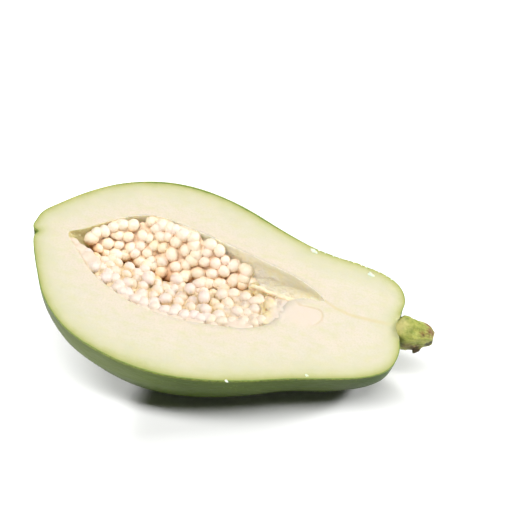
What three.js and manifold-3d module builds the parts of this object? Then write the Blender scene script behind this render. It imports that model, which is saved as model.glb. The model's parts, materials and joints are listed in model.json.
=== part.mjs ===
// Half of a green papaya, cut lengthwise, with its stem and its seeds. It lies on its skin.
//
// Everything is shaped in the fruit's own frame, in millimetres. x runs from the blossom end to the
// stem end, y runs across the cut face to its far side, and z is the outward normal of the cut face,
// which lies on z = 0. The exported group then lays the half down: +Z is up, Z = 0 is the surface it
// rests on, and the origin is under the middle of its bounding box.

import * as THREE from "three";
import { mergeVertices } from "three/addons/utils/BufferGeometryUtils.js";
import Module from "manifold-3d";

// How the half lies: its cut face leans towards -Y, and its slimmer stem end sinks.
const TILT = THREE.MathUtils.degToRad(20);
const PITCH = THREE.MathUtils.degToRad(11.5);
const REST_SPOT_DEPTH = 1.7; // how much of the round skin the rest spot flattens
const CLEARANCE = 0.35; // between pieces that touch

// The skin. Each row is one cross-section: where it meets the far edge of the cut face (x, y), where
// it meets the near edge (x, y), and how deep it reaches below the face.
const BLOSSOM_POLE = [1.4, -0.7];
const STEM_POLE = [199.8, -0.5];
const SKIN_SECTIONS = [
  [-1.2, 0.2, 1.1, -1.7, 1.5],
  [-2.3, 2.3, 0.4, -3.5, 3.5],
  [-1.7, 6.3, 0.5, -5.9, 7.2],
  [-0.3, 12.2, 2.4, -11.2, 12.5],
  [7, 20.5, 8, -23, 18.5],
  [18.5, 31.8, 17, -39, 29],
  [35, 43.6, 34, -53.8, 43],
  [57, 51.9, 58, -62, 55.5],
  [79, 53.6, 82, -64.6, 60],
  [104, 49.1, 106, -61.8, 57.5],
  [127, 40.7, 129, -55.6, 50],
  [150, 33.8, 152, -47.3, 43],
  [172, 32.1, 173, -41.2, 40.5],
  [189, 29.2, 190, -34.8, 36],
  [198, 23.4, 199.5, -27.5, 28],
  [201.3, 15.5, 203, -16.5, 15.5],
  [200.2, 8.6, 201.6, -7.6, 7],
];
const LOBES = 5; // a papaya is a soft pentagon in cross-section
const LOBE_HEIGHT = 0.028; // share of the radius
const LOBE_VALLEY = THREE.MathUtils.degToRad(110); // the valley between two lobes that it rests on

// The seed cavity, in rows of the same kind.
const CAVITY_BLOSSOM_TIP = [16.8, 3.2];
const CAVITY_STEM_TIP = [158.5, 3];
const CAVITY_SECTIONS = [
  [24, 8, 24.5, -5.4, 8.5],
  [35, 16.6, 34, -15.2, 17],
  [47, 24.8, 46.5, -22.6, 24],
  [61, 28.6, 61, -28.1, 27],
  [76, 26.8, 77, -30.2, 29],
  [92, 24.1, 93, -29.9, 28],
  [108, 20.7, 109, -27.9, 25],
  [121, 18, 122, -25.2, 21],
  [132, 15.5, 133.5, -18.5, 17],
  [141.5, 12.8, 139.5, -3, 13],
  [150, 9.3, 148, 1.9, 9],
  [155.5, 6.1, 154.5, 2.2, 5],
];
const PLACENTA_HEIGHT = 0.05; // ridges along the cavity wall that seeds grow on, as a share of its radius
const PLACENTA_RIDGE = THREE.MathUtils.degToRad(62); // where the middle one runs

// Grid counts along the fruit, round the skin, across the face and round the cavity.
const STATIONS = 46;
const SKIN_STEPS = 18;
const FACE_RINGS = 3;
const CAVITY_STEPS = 14;

// The stem: rings of (x, y, z, radius) from inside the fruit's end to the broken tip.
const STEM_RINGS = [
  [193, -0.6, -5.4, 3.5],
  [198.5, -0.6, -5.4, 5.3],
  [200.5, -0.5, -5.3, 8],
  [203, -0.4, -5.1, 8.7],
  [207, -0.1, -4.9, 8],
  [211, 0.2, -4.6, 7.8],
  [214.5, 0.6, -4.2, 6.9],
  [217.6, 0.9, -3.8, 4.9],
  [219.6, 1.1, -3.4, 2],
];
const STEM_SIDES = 12;
const STEM_RIBS = 5;
const STEM_RIB_HEIGHT = 0.05; // share of the radius
const STEM_SCARS = [
  [212.9, -6, -10.4, 2.6],
  [213.2, -3.2, 1.2, 2.4],
  [206, 5.2, -10.2, 2.6],
]; // scars of fallen flowers: (x, y, z) of the knob's middle, and its radius
const SCAR_SIDES = 8;
const SCAR_RINGS = 5;

// The seeds: two bunches, one on each wall, with a valley between them. A bunch is a bed of placenta on
// the wall, with the seeds standing out of it. side is 1 for the far wall and -1 for the near wall, and
// from and to are the middles of the first and the last seed along x. rimDrops are how far the tops of
// the outermost seeds lie below the face up to sinksFrom and at the last seed. The lower the bulge number,
// the more a bunch bulges between its rim and the valley. The first seeds of a bunch have places of their
// own, and the rest find room between them. draw starts their random numbers.
const SEED_RADIUS = 3.15;
const SEED_SIZE_SPREAD = 0.2; // share of the radius
const SEED_SPACING = 0.97; // of two radii, between the middles of neighbours
const SEED_GAP = 0.55; // between a seed and the wall
const SEED_SIDES = 7;
const SEED_RINGS = 4;
const PLACES_TRIED = 30; // for each seed that isn't one of the first
const SETTLING_ROUNDS = 60;
const VALLEY_LINE = [
  [10, 1.5],
  [36, 0.5],
  [48, 3],
  [62, 1.5],
  [76, -1.5],
  [87, 1],
  [97, 0],
  [110, 4],
  [124, 4.5],
  [160, 4],
]; // its course along the face, (x, y)
const VALLEY_DEPTH = 0.47; // share of the cavity's depth
const BED_BELOW_SEEDS = 3.4; // from the seeds' tops down to the bed
const BED_GAP = 0.75; // between the bed and the curved wall under it
const BED_LEAST = 0.8; // its least thickness
const BED_MARGIN = 4; // past the middles of the first and the last seed
const BED_STEPS = 6; // across a bunch
// (x, y) on the face and the radius.
const FIRST_FAR_SEEDS = [
  [28.5, 6.5, 3.6], [33.5, 3.5, 2.7], [37.5, 7.5, 3.2], [42.5, 5, 3.1], [37.5, 2, 2.7],
  [34, 12, 3.1], [37.5, 16.5, 2.7], [42, 20, 2.9], [42, 13, 2.7], [43.5, 9, 2.5], [43, 16.5, 2.7],
  [47, 14.5, 2.9], [48, 20.5, 3.4], [50, 10.5, 3.2], [53, 8.5, 3.3], [55, 12.5, 2.9],
  [59.5, 10, 2.9], [57, 5, 3.4], [62.5, 7, 2.7], [56.5, 24.5, 2.4], [61, 22.5, 3.1],
  [54.5, 17.5, 3.2], [58.5, 17, 2.5], [67.5, 26.5, 3.3], [68, 20, 2.8], [75.5, 24.5, 3.7],
  [62, 14.5, 2.9], [67, 14.5, 2.7], [73, 18.5, 3.3], [72.5, 12.5, 3.6], [79, 15.5, 2.9],
  [83, 19, 3.7], [68.5, 8, 3.2], [84, 12, 3.2], [91.5, 21, 3.2], [97, 19, 3.3], [91, 16.5, 2.7],
  [91, 12.5, 2.9], [97, 13, 3.2], [101.5, 15.5, 2.5], [106.5, 15, 3.4], [102, 11, 3.2],
  [96.5, 8, 3.1], [89, 7, 3.3], [83, 5, 3.3], [76.5, 7, 3.3], [81.5, 9, 2.8], [78, 2.5, 2.7],
  [96, 3.5, 3.3], [108.5, 8.5, 3.6], [103, 5, 2.7], [69.5, 3, 3.3], [77, -0.5, 2.7],
  [64.5, 5, 2.7], [91.5, 2, 2.5],
];
const FIRST_NEAR_SEEDS = [
  [34, -7.5, 3.2], [39, -10, 3.2], [45.5, 0, 3.3], [43.5, -12.5, 2.9], [52.5, -1, 3.3],
  [43.5, -16.5, 3.3], [48, -14.5, 3.1], [52.5, -8.5, 2.9], [57.5, -4, 3.2], [51, -21, 2.8],
  [56.5, -14.5, 3.7], [64, -4, 3.7], [57, -22, 3.6], [64, -20.5, 4.0], [63, -13, 3.2],
  [71.5, -23, 3.2], [71, -12.5, 3.4], [73.5, -2, 3.4], [77.5, -18, 3.4], [82.5, -3, 2.9],
  [84.5, -12.5, 3.3], [87.5, -2, 3.6], [90, -9.5, 3.2], [95, -4, 3.4], [97.5, -18.5, 4.0],
  [91, -19.5, 3.4], [84, -23.5, 3.4], [104.5, -4, 3.4], [110.5, -1, 3.4], [102, -11, 2.9],
  [109, -9.5, 3.7], [115.5, -13, 3.3], [106.5, -20.5, 3.7], [118, 1, 3.3], [125, -2, 3.1],
  [133.5, -2, 3.2], [124, -10.5, 3.4], [131, -15, 2.9], [120, -20, 3.2], [113.5, -22.5, 3.2],
  [78.5, -26.5, 3.2],
];
const FAR_BUNCH = {
  name: "seeds_far_wall",
  side: 1,
  seeds: 67,
  from: 28,
  to: 114,
  rimDrops: [-1, 4.5],
  sinksFrom: 92,
  bulge: 1,
  draw: 7,
  firstSeeds: FIRST_FAR_SEEDS,
};
const NEAR_BUNCH = {
  name: "seeds_near_wall",
  side: -1,
  seeds: 94,
  from: 29,
  to: 131,
  rimDrops: [0, 0],
  sinksFrom: 92,
  bulge: 0.8,
  draw: 19,
  firstSeeds: FIRST_NEAR_SEEDS,
};

const COLOURS = { skin: 0x4f7d2b, flesh: 0xf1edcf, stem: 0x8f9a4e, seed: 0xf2e6cd };

// A closed smooth curve through one pole, along one side, through the other pole and back along the other
// side. The first half of its parameter is one side, and the second half is the other.
function closedCurve(start, side, end, otherSide) {
  const corners = [start, ...side, end, ...otherSide.toReversed()];
  const points = corners.map(([x, y]) => new THREE.Vector3(x, y, 0));
  return new THREE.CatmullRomCurve3(points, true, "centripetal");
}

// A half body that hangs below the plane z = 0 from its outline in that plane. Its cross-sections are half
// ellipses, which swell makes larger or smaller round the section.
class HalfLoft {
  constructor(startPole, sections, endPole, swell) {
    const middle = ([farX, , nearX]) => (farX + nearX) / 2;
    this.outline = closedCurve(
      startPole,
      sections.map(([x, y]) => [x, y]),
      endPole,
      sections.map(([, , x, y]) => [x, y]),
    );
    this.profile = closedCurve(
      [startPole[0], 0],
      sections.map((s) => [middle(s), s[4]]),
      [endPole[0], 0],
      sections.map((s) => [middle(s), -s[4]]),
    );
    this.swell = swell;
  }

  // The section at t, from 0 at the start pole to 1 at the end pole.
  section(t) {
    const far = this.outline.getPoint(t / 2);
    const near = this.outline.getPoint(t === 0 ? 0 : 1 - t / 2);
    const depth = t === 0 || t === 1 ? 0 : this.profile.getPoint(t / 2).y;
    return { far, near, depth };
  }

  // The wall at an angle round the section: 0 is the far edge, a half turn is the near edge.
  wall(t, angle) {
    const { far, near, depth } = this.section(t);
    if (angle === 0) return far;
    if (angle === Math.PI) return near;
    const share = (1 - Math.cos(angle)) / 2; // keeps both edges on the outline, whatever the swell
    const edges = this.swell(0, t) * (1 - share) + this.swell(Math.PI, t) * share;
    const radius = this.swell(angle, t) / edges;
    const middle = far.clone().add(near).multiplyScalar(0.5);
    const half = far.clone().sub(near).multiplyScalar(0.5);
    const point = middle.addScaledVector(half, Math.cos(angle) * radius);
    return point.setZ(-depth * Math.sin(angle) * radius);
  }

  // The section at a place along x, found by halving.
  parameterAt(x) {
    let [low, high] = [0, 1];
    for (let i = 0; i < 30; i++) {
      const t = (low + high) / 2;
      const { far, near } = this.section(t);
      if ((far.x + near.x) / 2 < x) low = t;
      else high = t;
    }
    return low;
  }
}

const skin = new HalfLoft(
  BLOSSOM_POLE,
  SKIN_SECTIONS,
  STEM_POLE,
  (angle) => 1 - LOBE_HEIGHT * Math.cos(LOBES * (angle - LOBE_VALLEY)),
);
const cavity = new HalfLoft(
  CAVITY_BLOSSOM_TIP,
  CAVITY_SECTIONS,
  CAVITY_STEM_TIP,
  (angle) => 1 - PLACENTA_HEIGHT * Math.cos(LOBES * (angle - PLACENTA_RIDGE)) * Math.sin(angle) ** 2,
);

// Triangles of a grid of points. Rows that shrink to a pole give no empty triangles.
function gridTriangles(rows) {
  const triangles = [];
  const add = (a, b, c) => {
    if (a.distanceTo(b) > 1e-6 && b.distanceTo(c) > 1e-6 && c.distanceTo(a) > 1e-6) triangles.push(a, b, c);
  };
  for (let i = 0; i + 1 < rows.length; i++)
    for (let j = 0; j + 1 < rows[i].length; j++) {
      const [a, b, c, d] = [rows[i][j], rows[i + 1][j], rows[i + 1][j + 1], rows[i][j + 1]];
      add(a, b, c);
      add(a, c, d);
    }
  return triangles;
}

function geometryOf(points) {
  return mergeVertices(new THREE.BufferGeometry().setFromPoints(points), 1e-4);
}

const steps = (count) => Array.from({ length: count + 1 }, (_, i) => i / count);

// The edge of a half loft as one closed ring: the far side out, the near side back.
function rimRing(loft) {
  const far = steps(STATIONS).map((t) => loft.wall(t, 0));
  const near = steps(STATIONS).map((t) => loft.wall(t, Math.PI));
  return [...far, ...near.toReversed().slice(1)];
}

function wallRows(loft, around) {
  return steps(STATIONS).map((t) => steps(around).map((share) => loft.wall(t, Math.PI * share)));
}

// Laying the half down: the turn from the fruit's frame, and the height of the surface in that turn.
const lean = new THREE.Matrix4().makeRotationX(TILT);
const layDown = new THREE.Matrix4().makeRotationY(PITCH).multiply(lean);
const up = new THREE.Vector3(0, 0, 1).applyMatrix4(layDown.clone().transpose());
const skinRows = wallRows(skin, SKIN_STEPS);
const ground = Math.min(...skinRows.flat().map((p) => p.dot(up))) + REST_SPOT_DEPTH;

// Lifts what lies under the surface onto it, which makes the flat rest spot.
function flattenOnGround(point) {
  return point.addScaledVector(up, Math.max(0, ground - point.dot(up)));
}

function fruitHalf() {
  const outer = rimRing(skin);
  const inner = rimRing(cavity);
  const face = steps(FACE_RINGS).map((share) => outer.map((p, i) => p.clone().lerp(inner[i], share)));
  const skinTriangles = gridTriangles(skinRows.map((row) => row.map(flattenOnGround)));
  const fleshTriangles = [
    ...gridTriangles(face),
    ...gridTriangles(wallRows(cavity, CAVITY_STEPS).map((row) => row.toReversed())),
  ];
  const geometry = new THREE.BufferGeometry().setFromPoints([...skinTriangles, ...fleshTriangles]);
  const colours = [
    ...skinTriangles.map(() => new THREE.Color(COLOURS.skin)),
    ...fleshTriangles.map(() => new THREE.Color(COLOURS.flesh)),
  ];
  geometry.setAttribute("color", new THREE.Float32BufferAttribute(colours.flatMap((c) => c.toArray()), 3));
  return geometry;
}

// manifold-3d joins and cuts. These two carry a geometry there and back.
const wasm = await Module();
wasm.setup();

function solidOf(geometry) {
  const loose = geometry.index ? geometry.toNonIndexed() : geometry;
  const bare = new THREE.BufferGeometry();
  bare.setAttribute("position", loose.getAttribute("position"));
  const merged = mergeVertices(bare, 1e-4);
  const mesh = new wasm.Mesh({
    numProp: 3,
    vertProperties: new Float32Array(merged.attributes.position.array),
    triVerts: new Uint32Array(merged.index.array),
  });
  return new wasm.Manifold(mesh);
}

function geometryFrom(solid) {
  const mesh = solid.getMesh();
  const geometry = new THREE.BufferGeometry();
  geometry.setAttribute("position", new THREE.Float32BufferAttribute(mesh.vertProperties, 3));
  geometry.setIndex(new THREE.BufferAttribute(mesh.triVerts, 1));
  return geometry;
}

// A round knob with few sides.
function knob([x, y, z], radius, sides, rings) {
  return new THREE.SphereGeometry(radius, sides, rings).rotateX(Math.PI / 2).translate(x, y, z);
}

function stem(fruit) {
  const ring = ([x, y, z, radius]) =>
    steps(STEM_SIDES).map((share) => {
      const angle = 2 * Math.PI * (share === 1 ? 0 : share);
      const reach = radius * (1 + STEM_RIB_HEIGHT * Math.cos(STEM_RIBS * angle));
      return new THREE.Vector3(x, y + reach * Math.cos(angle), z + reach * Math.sin(angle));
    });
  const cap = ([x, y, z]) => Array.from({ length: STEM_SIDES + 1 }, () => new THREE.Vector3(x, y, z));
  const rows = [cap(STEM_RINGS[0]), ...STEM_RINGS.map(ring), cap(STEM_RINGS.at(-1))];
  let solid = solidOf(geometryOf(gridTriangles(rows.toReversed())));
  for (const [x, y, z, radius] of STEM_SCARS) {
    solid = solid.add(solidOf(knob([x, y, z], radius, SCAR_SIDES, SCAR_RINGS)));
  }
  return solid.subtract(fruit.translate([CLEARANCE, 0, 0]));
}

// A repeatable stream of numbers from 0 to 1.
function randomStream(seed) {
  let state = seed;
  return () => {
    state = (Math.imul(state, 1664525) + 1013904223) >>> 0;
    return state / 2 ** 32;
  };
}

// The line of the valley across the cavity at a place along it.
function valleyAt(x) {
  const next = VALLEY_LINE.findIndex(([end]) => end >= x);
  const [[x0, y0], [x1, y1]] = VALLEY_LINE.slice(next - 1);
  return THREE.MathUtils.lerp(y0, y1, THREE.MathUtils.smoothstep(x, x0, x1));
}

// The tops of the seeds: they fall from the outermost seeds at the rim into the valley.
function seedTopsAt(bunch, { rim, rimDrop, depth, valley }, y) {
  const outermost = rim - bunch.side * (SEED_RADIUS + SEED_GAP);
  const share = THREE.MathUtils.clamp((y - valley) / (outermost - valley), 0, 1);
  return -VALLEY_DEPTH * depth * (1 - share ** bunch.bulge) - rimDrop * share;
}

// A bunch's side of the cavity at t: the section there, its rim and where the valley runs.
function sideAt(bunch, t) {
  const { far, near, depth } = cavity.section(t);
  const middle = far.clone().add(near).multiplyScalar(0.5);
  const along = THREE.MathUtils.smoothstep(middle.x, bunch.sinksFrom, bunch.to);
  const rimDrop = THREE.MathUtils.lerp(...bunch.rimDrops, along);
  return { middle, depth, rim: bunch.side > 0 ? far.y : near.y, rimDrop, valley: valleyAt(middle.x) };
}

// The bed lies between the wall and the seeds' tops. Its rows run across the cavity from the near side.
function seedBed(bunch) {
  const rows = { top: [], bottom: [] };
  for (const t of steps(STATIONS)) {
    const side = sideAt(bunch, t);
    const { middle, depth, rim, rimDrop, valley } = side;
    if (middle.x < bunch.from - BED_MARGIN || middle.x > bunch.to + BED_MARGIN) continue;
    const valleyShare = (valley + (bunch.side * CLEARANCE) / 2 - middle.y) / Math.abs(rim - middle.y);
    const atValley = Math.acos(THREE.MathUtils.clamp(valleyShare, -1, 1));
    const belowRim = Math.asin(Math.min(1, (rimDrop + BED_BELOW_SEEDS) / depth));
    const atRim = bunch.side > 0 ? belowRim : Math.PI - belowRim;
    const [from, to] = [atRim, atValley].sort((a, b) => b - a);
    const bottom = steps(BED_STEPS).map((share) => {
      const point = cavity.wall(t, THREE.MathUtils.lerp(from, to, share));
      return point.lerp(middle, BED_GAP / point.distanceTo(middle));
    });
    rows.bottom.push(bottom);
    rows.top.push(
      bottom.map(({ x, y, z }) => {
        const height = seedTopsAt(bunch, side, y) - BED_BELOW_SEEDS;
        return new THREE.Vector3(x, y, Math.max(height, z + BED_LEAST));
      }),
    );
  }
  const edge = (grid) => [
    ...grid[0],
    ...grid.slice(1).map((row) => row.at(-1)),
    ...grid.at(-1).toReversed().slice(1),
    ...grid.slice(0, -1).reverse().map((row) => row[0]),
  ];
  const triangles = [
    ...gridTriangles(rows.top),
    ...gridTriangles(rows.bottom.map((row) => row.toReversed())),
    ...gridTriangles([edge(rows.bottom), edge(rows.top)]),
  ];
  return solidOf(geometryOf(triangles));
}

const wallPoints = steps(2 * STATIONS).flatMap((t) =>
  steps(2 * CAVITY_STEPS).map((share) => cavity.wall(t, Math.PI * share)),
);

// Holds a seed on its bed: at the height there, clear of the wall, and on its side of the valley.
function keepOnBed(bunch, { middle, radius }) {
  middle.x = THREE.MathUtils.clamp(middle.x, bunch.from, bunch.to);
  const side = sideAt(bunch, cavity.parameterAt(middle.x));
  const room = radius + SEED_GAP;
  const atValley = bunch.side * side.valley + radius + CLEARANCE / 2;
  const atRim = bunch.side * side.rim - room;
  middle.y = bunch.side * Math.min(bunch.side * middle.y, atRim);
  middle.z = seedTopsAt(bunch, side, middle.y) - radius;
  for (const point of wallPoints) {
    if (point.distanceToSquared(middle) >= room ** 2) continue;
    const inward = middle.clone().sub(point);
    middle.addScaledVector(inward, room / inward.length() - 1);
  }
  middle.y = bunch.side * Math.max(atValley, bunch.side * middle.y);
}

// A place for one more seed: of a few random ones over the bed, the one with most room round it.
function roomyPlace(bunch, seeds, random) {
  const tries = Array.from({ length: PLACES_TRIED }, () => {
    const x = THREE.MathUtils.lerp(bunch.from, bunch.to, random());
    const { rim, valley } = sideAt(bunch, cavity.parameterAt(x));
    return new THREE.Vector3(x, THREE.MathUtils.lerp(valley, rim, random()), 0);
  });
  const room = ({ x, y }) => Math.min(...seeds.map(({ middle }) => Math.hypot(middle.x - x, middle.y - y)));
  return tries.reduce((a, b) => (room(a) > room(b) ? a : b));
}

// The first seeds stay where they are. The others start in the gaps between them, and push each other
// away until they lie side by side.
function seedPlaces(bunch) {
  const random = randomStream(bunch.draw);
  const first = bunch.firstSeeds.map(([x, y, radius]) => ({ middle: new THREE.Vector3(x, y, 0), radius }));
  for (const seed of first) keepOnBed(bunch, seed);
  const others = [];
  while (first.length + others.length < bunch.seeds) {
    const middle = roomyPlace(bunch, [...first, ...others], random);
    others.push({ middle, radius: SEED_RADIUS * (1 + SEED_SIZE_SPREAD * (random() - 0.5)) });
  }
  for (let round = 0; round < SETTLING_ROUNDS; round++) {
    for (const [i, seed] of others.entries())
      for (const other of [...others.slice(i + 1), ...first]) {
        const apart = seed.middle.clone().sub(other.middle);
        const lacking = SEED_SPACING * (seed.radius + other.radius) - apart.length();
        if (lacking <= 0) continue;
        const share = first.includes(other) ? 1 : 0.5;
        seed.middle.addScaledVector(apart, (share * lacking) / apart.length());
        other.middle.addScaledVector(apart, ((share - 1) * lacking) / apart.length());
      }
    for (const seed of others) keepOnBed(bunch, seed);
  }
  return [...first, ...others];
}

// A bunch of seeds in one solid with its bed. Its outer shell is kept alone, so hollows between the
// seeds are filled.
function seedBunch(bunch) {
  const seeds = seedPlaces(bunch).map(({ middle, radius }) =>
    solidOf(knob(middle.toArray(), radius, SEED_SIDES, SEED_RINGS)),
  );
  const fused = seeds.reduce((all, seed) => all.add(seed), seedBed(bunch));
  return fused.decompose().reduce((a, b) => (a.volume() > b.volume() ? a : b));
}

function piece(name, geometry, colour, roughness) {
  const material = new THREE.MeshStandardMaterial({ color: colour, roughness, metalness: 0 });
  const mesh = new THREE.Mesh(geometry, material);
  mesh.name = name;
  return mesh;
}

const fruit = piece("fruit_half", fruitHalf(), 0xffffff, 0.45);
fruit.material.vertexColors = true; // green skin, pale flesh
const pieces = [fruit, piece("stem", geometryFrom(stem(solidOf(fruit.geometry))), COLOURS.stem, 0.7)];
for (const bunch of [FAR_BUNCH, NEAR_BUNCH]) {
  pieces.push(piece(bunch.name, geometryFrom(seedBunch(bunch)), COLOURS.seed, 0.35));
}

// The half, turned as it lies, with the surface at Z = 0 and the origin under its middle.
const lying = new THREE.Group();
lying.add(...pieces);
lying.setRotationFromMatrix(layDown);
const box = new THREE.Box3().setFromObject(lying, true);
const middle = box.getCenter(new THREE.Vector3());
lying.position.set(-middle.x, -middle.y, -ground);

const papaya = new THREE.Group();
papaya.add(lying);

export default papaya;
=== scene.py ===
"""Half of a green papaya, cut lengthwise, lying on its skin with the seeds showing.

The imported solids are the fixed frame. The body of the fruit, its stem and its two bunches of seeds
are modelled round them in finer meshes. Everything is placed in the fruit's own axes, in
millimetres: x runs from the blossom end to the stem, y to the far side of the cut face and z out of
the cut face.
"""

from __future__ import annotations

import json
import logging
import math
import random
from collections.abc import Callable, Iterable, Iterator, Sequence
from contextlib import contextmanager
from dataclasses import dataclass, field
from enum import Enum

import bpy
from mathutils import Matrix, Vector, noise
from mathutils.bvhtree import BVHTree
from mathutils.kdtree import KDTree

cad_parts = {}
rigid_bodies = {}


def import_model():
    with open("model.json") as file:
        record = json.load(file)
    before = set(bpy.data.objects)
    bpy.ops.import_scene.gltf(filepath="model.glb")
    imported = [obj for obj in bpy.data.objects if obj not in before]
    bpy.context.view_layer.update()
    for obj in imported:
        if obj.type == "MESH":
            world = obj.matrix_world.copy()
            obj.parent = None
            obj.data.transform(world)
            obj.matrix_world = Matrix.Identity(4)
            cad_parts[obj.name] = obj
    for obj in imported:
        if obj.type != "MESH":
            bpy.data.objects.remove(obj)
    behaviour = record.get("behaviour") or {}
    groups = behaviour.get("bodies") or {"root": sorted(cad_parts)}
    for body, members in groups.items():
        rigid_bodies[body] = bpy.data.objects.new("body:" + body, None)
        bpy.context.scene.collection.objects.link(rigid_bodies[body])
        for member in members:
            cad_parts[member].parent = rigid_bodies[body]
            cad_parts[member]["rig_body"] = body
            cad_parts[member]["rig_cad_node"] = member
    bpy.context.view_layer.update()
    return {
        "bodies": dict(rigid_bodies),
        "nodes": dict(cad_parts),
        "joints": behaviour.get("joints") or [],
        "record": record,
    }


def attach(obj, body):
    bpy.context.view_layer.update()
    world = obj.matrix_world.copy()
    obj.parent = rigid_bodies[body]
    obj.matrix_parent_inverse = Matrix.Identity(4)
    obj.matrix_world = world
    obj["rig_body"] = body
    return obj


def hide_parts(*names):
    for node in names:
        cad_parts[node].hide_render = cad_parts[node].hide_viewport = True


LOG = logging.getLogger("papaya_half")

MM = 0.001
WELD = 2e-6  # metres, joins the loose corners of a copied solid
FAR_AWAY = 400.0  # millimetres, past the end of the fruit
MOIST_IOR = 1.4  # of flesh, seeds, skin and stem

Point = tuple[float, float, float]
Colour = tuple[float, float, float, float]
Stops = Sequence[tuple[float, Colour]]
Ring = tuple[float, float, float, float]  # a middle and a radius
Lump = tuple[float, float, float, float, float, float]  # a middle and the half sizes
Line = Sequence[tuple[float, float]]
Spot = tuple[Point, Point]  # a middle and the half sizes
Span = tuple[float, float]
Socket = bpy.types.NodeSocket


class Region(Enum):
    """The three kinds of surface on the cut fruit, in the order of its material slots."""

    FACE = 0
    SKIN = 1
    WALL = 2


class Side(Enum):
    """The two walls of the seed cavity."""

    FAR = 1
    NEAR = -1


def paint(red: int, green: int, blue: int) -> Colour:
    """Turns a screen colour into the linear colour that a shader takes.

    Args:
        red: Red from 0 to 255.
        green: Green from 0 to 255.
        blue: Blue from 0 to 255.

    Returns:
        The linear red, green and blue, and full alpha.
    """

    def linear(level: int) -> float:
        """One channel as linear light."""
        share = level / 255
        return share / 12.92 if share <= 0.04045 else ((share + 0.055) / 1.055) ** 2.4

    return (linear(red), linear(green), linear(blue), 1.0)


def height_of(line: Line, x: float) -> float:
    """The height of a line at a place along x.

    Args:
        line: The line's corners.
        x: The place.

    Returns:
        The line's y there.
    """
    for (x0, y0), (x1, y1) in zip(line, line[1:]):
        if x <= x1:
            break
    share = min(1.0, max(0.0, (x - x0) / (x1 - x0)))
    return y0 + (y1 - y0) * share


def beside(line: Line, point: Vector) -> tuple[float, float]:
    """How far a point of the cut face is from a line.

    Args:
        line: The line's corners.
        point: The point.

    Returns:
        The distance, and how far along the line its nearest place is, from 0 to 1.
    """
    legs = [math.dist(start, end) for start, end in zip(line, line[1:])]
    nearest, share, walked = math.inf, 0.0, 0.0
    for (x0, y0), (x1, y1), leg in zip(line, line[1:], legs):
        along = ((point.x - x0) * (x1 - x0) + (point.y - y0) * (y1 - y0)) / leg
        along = min(leg, max(0.0, along))
        x, y = x0 + (x1 - x0) * along / leg, y0 + (y1 - y0) * along / leg
        distance = math.hypot(point.x - x, point.y - y)
        if distance < nearest:
            nearest, share = distance, (walked + along) / sum(legs)
        walked += leg
    return nearest, share


def smoothly(value: float, low: float, high: float) -> float:
    """Rises smoothly from 0 at low to 1 at high."""
    share = min(1.0, max(0.0, (value - low) / (high - low)))
    return share * share * (3 - 2 * share)


@dataclass(frozen=True)
class FruitAxes:
    """The fruit's own axes in the row frame.

    Attributes:
        turn: The rotation from the fruit's axes to the row frame.
        origin: The fruit's origin in the row frame, in metres.
    """

    turn: Matrix
    origin: Vector

    @classmethod
    def from_record(cls, record: dict, point: Point = (60.0, -46.0, 0.0)) -> FruitAxes:
        """Finds the axes from the record's mount on the cut face.

        Args:
            record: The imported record.
            point: Where that mount sits, in the fruit's own axes.

        Returns:
            The fruit's axes.
        """
        mount = next(m for m in record["mounts"] if m["name"] == "cut_face")
        normal = Vector(mount["axis"]).normalized()
        tilt, pitch = math.asin(-normal.y), math.atan2(normal.x, normal.z)
        turn = Matrix.Rotation(pitch, 3, "Y") @ Matrix.Rotation(tilt, 3, "X")
        return cls(turn, Vector(mount["pos_m"]) - turn @ (Vector(point) * MM))

    @property
    def outward(self) -> Vector:
        """The outward normal of the cut face in the row frame."""
        return self.turn @ Vector((0, 0, 1))

    def place(self, point: Iterable[float]) -> Vector:
        """A point of the fruit, in millimetres, as a place in the row frame, in metres."""
        return self.origin + self.turn @ (Vector(point) * MM)

    def local(self, place: Vector) -> Vector:
        """A place in the row frame, in metres, as a point of the fruit, in millimetres."""
        return (self.turn.transposed() @ (place - self.origin)) / MM

    def height(self, point: Vector) -> float:
        """How high a point of the fruit is above the floor, both in millimetres."""
        return self.place(point).z / MM


# ---- working with objects and meshes -------------------------------------------------------------


def pick(*objects: bpy.types.Object) -> None:
    """Selects these objects alone and makes the first one active.

    Args:
        objects: The objects, or none to deselect everything.
    """
    bpy.ops.object.select_all(action="DESELECT")
    for item in reversed(objects):
        item.select_set(True)
        bpy.context.view_layer.objects.active = item


@contextmanager
def editing(item: bpy.types.Object, mode: str = "FACE") -> Iterator[None]:
    """Opens an object in edit mode with what its mesh has selected.

    Args:
        item: The mesh object.
        mode: The kind of element that is selected, VERT, EDGE or FACE.

    Yields:
        Nothing, once the object is in edit mode.
    """
    pick(item)
    bpy.ops.object.mode_set(mode="EDIT")
    bpy.ops.mesh.select_mode(type=mode)
    try:
        yield
    finally:
        bpy.ops.object.mode_set(mode="OBJECT")


def select(item: bpy.types.Object, kind: str, wanted: Callable[..., bool]) -> None:
    """Selects the elements of a mesh that a test accepts, and no others.

    Args:
        item: The mesh object, in object mode.
        kind: The elements' kind, vertices, edges or polygons.
        wanted: The test, given an element.
    """
    mesh = item.data
    for part in (*mesh.vertices, *mesh.edges, *mesh.polygons):
        part.select = False
    for part in getattr(mesh, kind):
        part.select = wanted(part)


def select_nearest_face(item: bpy.types.Object, place: Vector) -> Vector:
    """Selects the face of a mesh that is nearest to a place.

    Args:
        item: The mesh object, in object mode.
        place: The place, in metres.

    Returns:
        The middle of that face.
    """
    nearest = min(item.data.polygons, key=lambda face: (face.center - place).length)
    middle, number = nearest.center.copy(), nearest.index
    select(item, "polygons", lambda face: face.index == number)
    return middle


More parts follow.
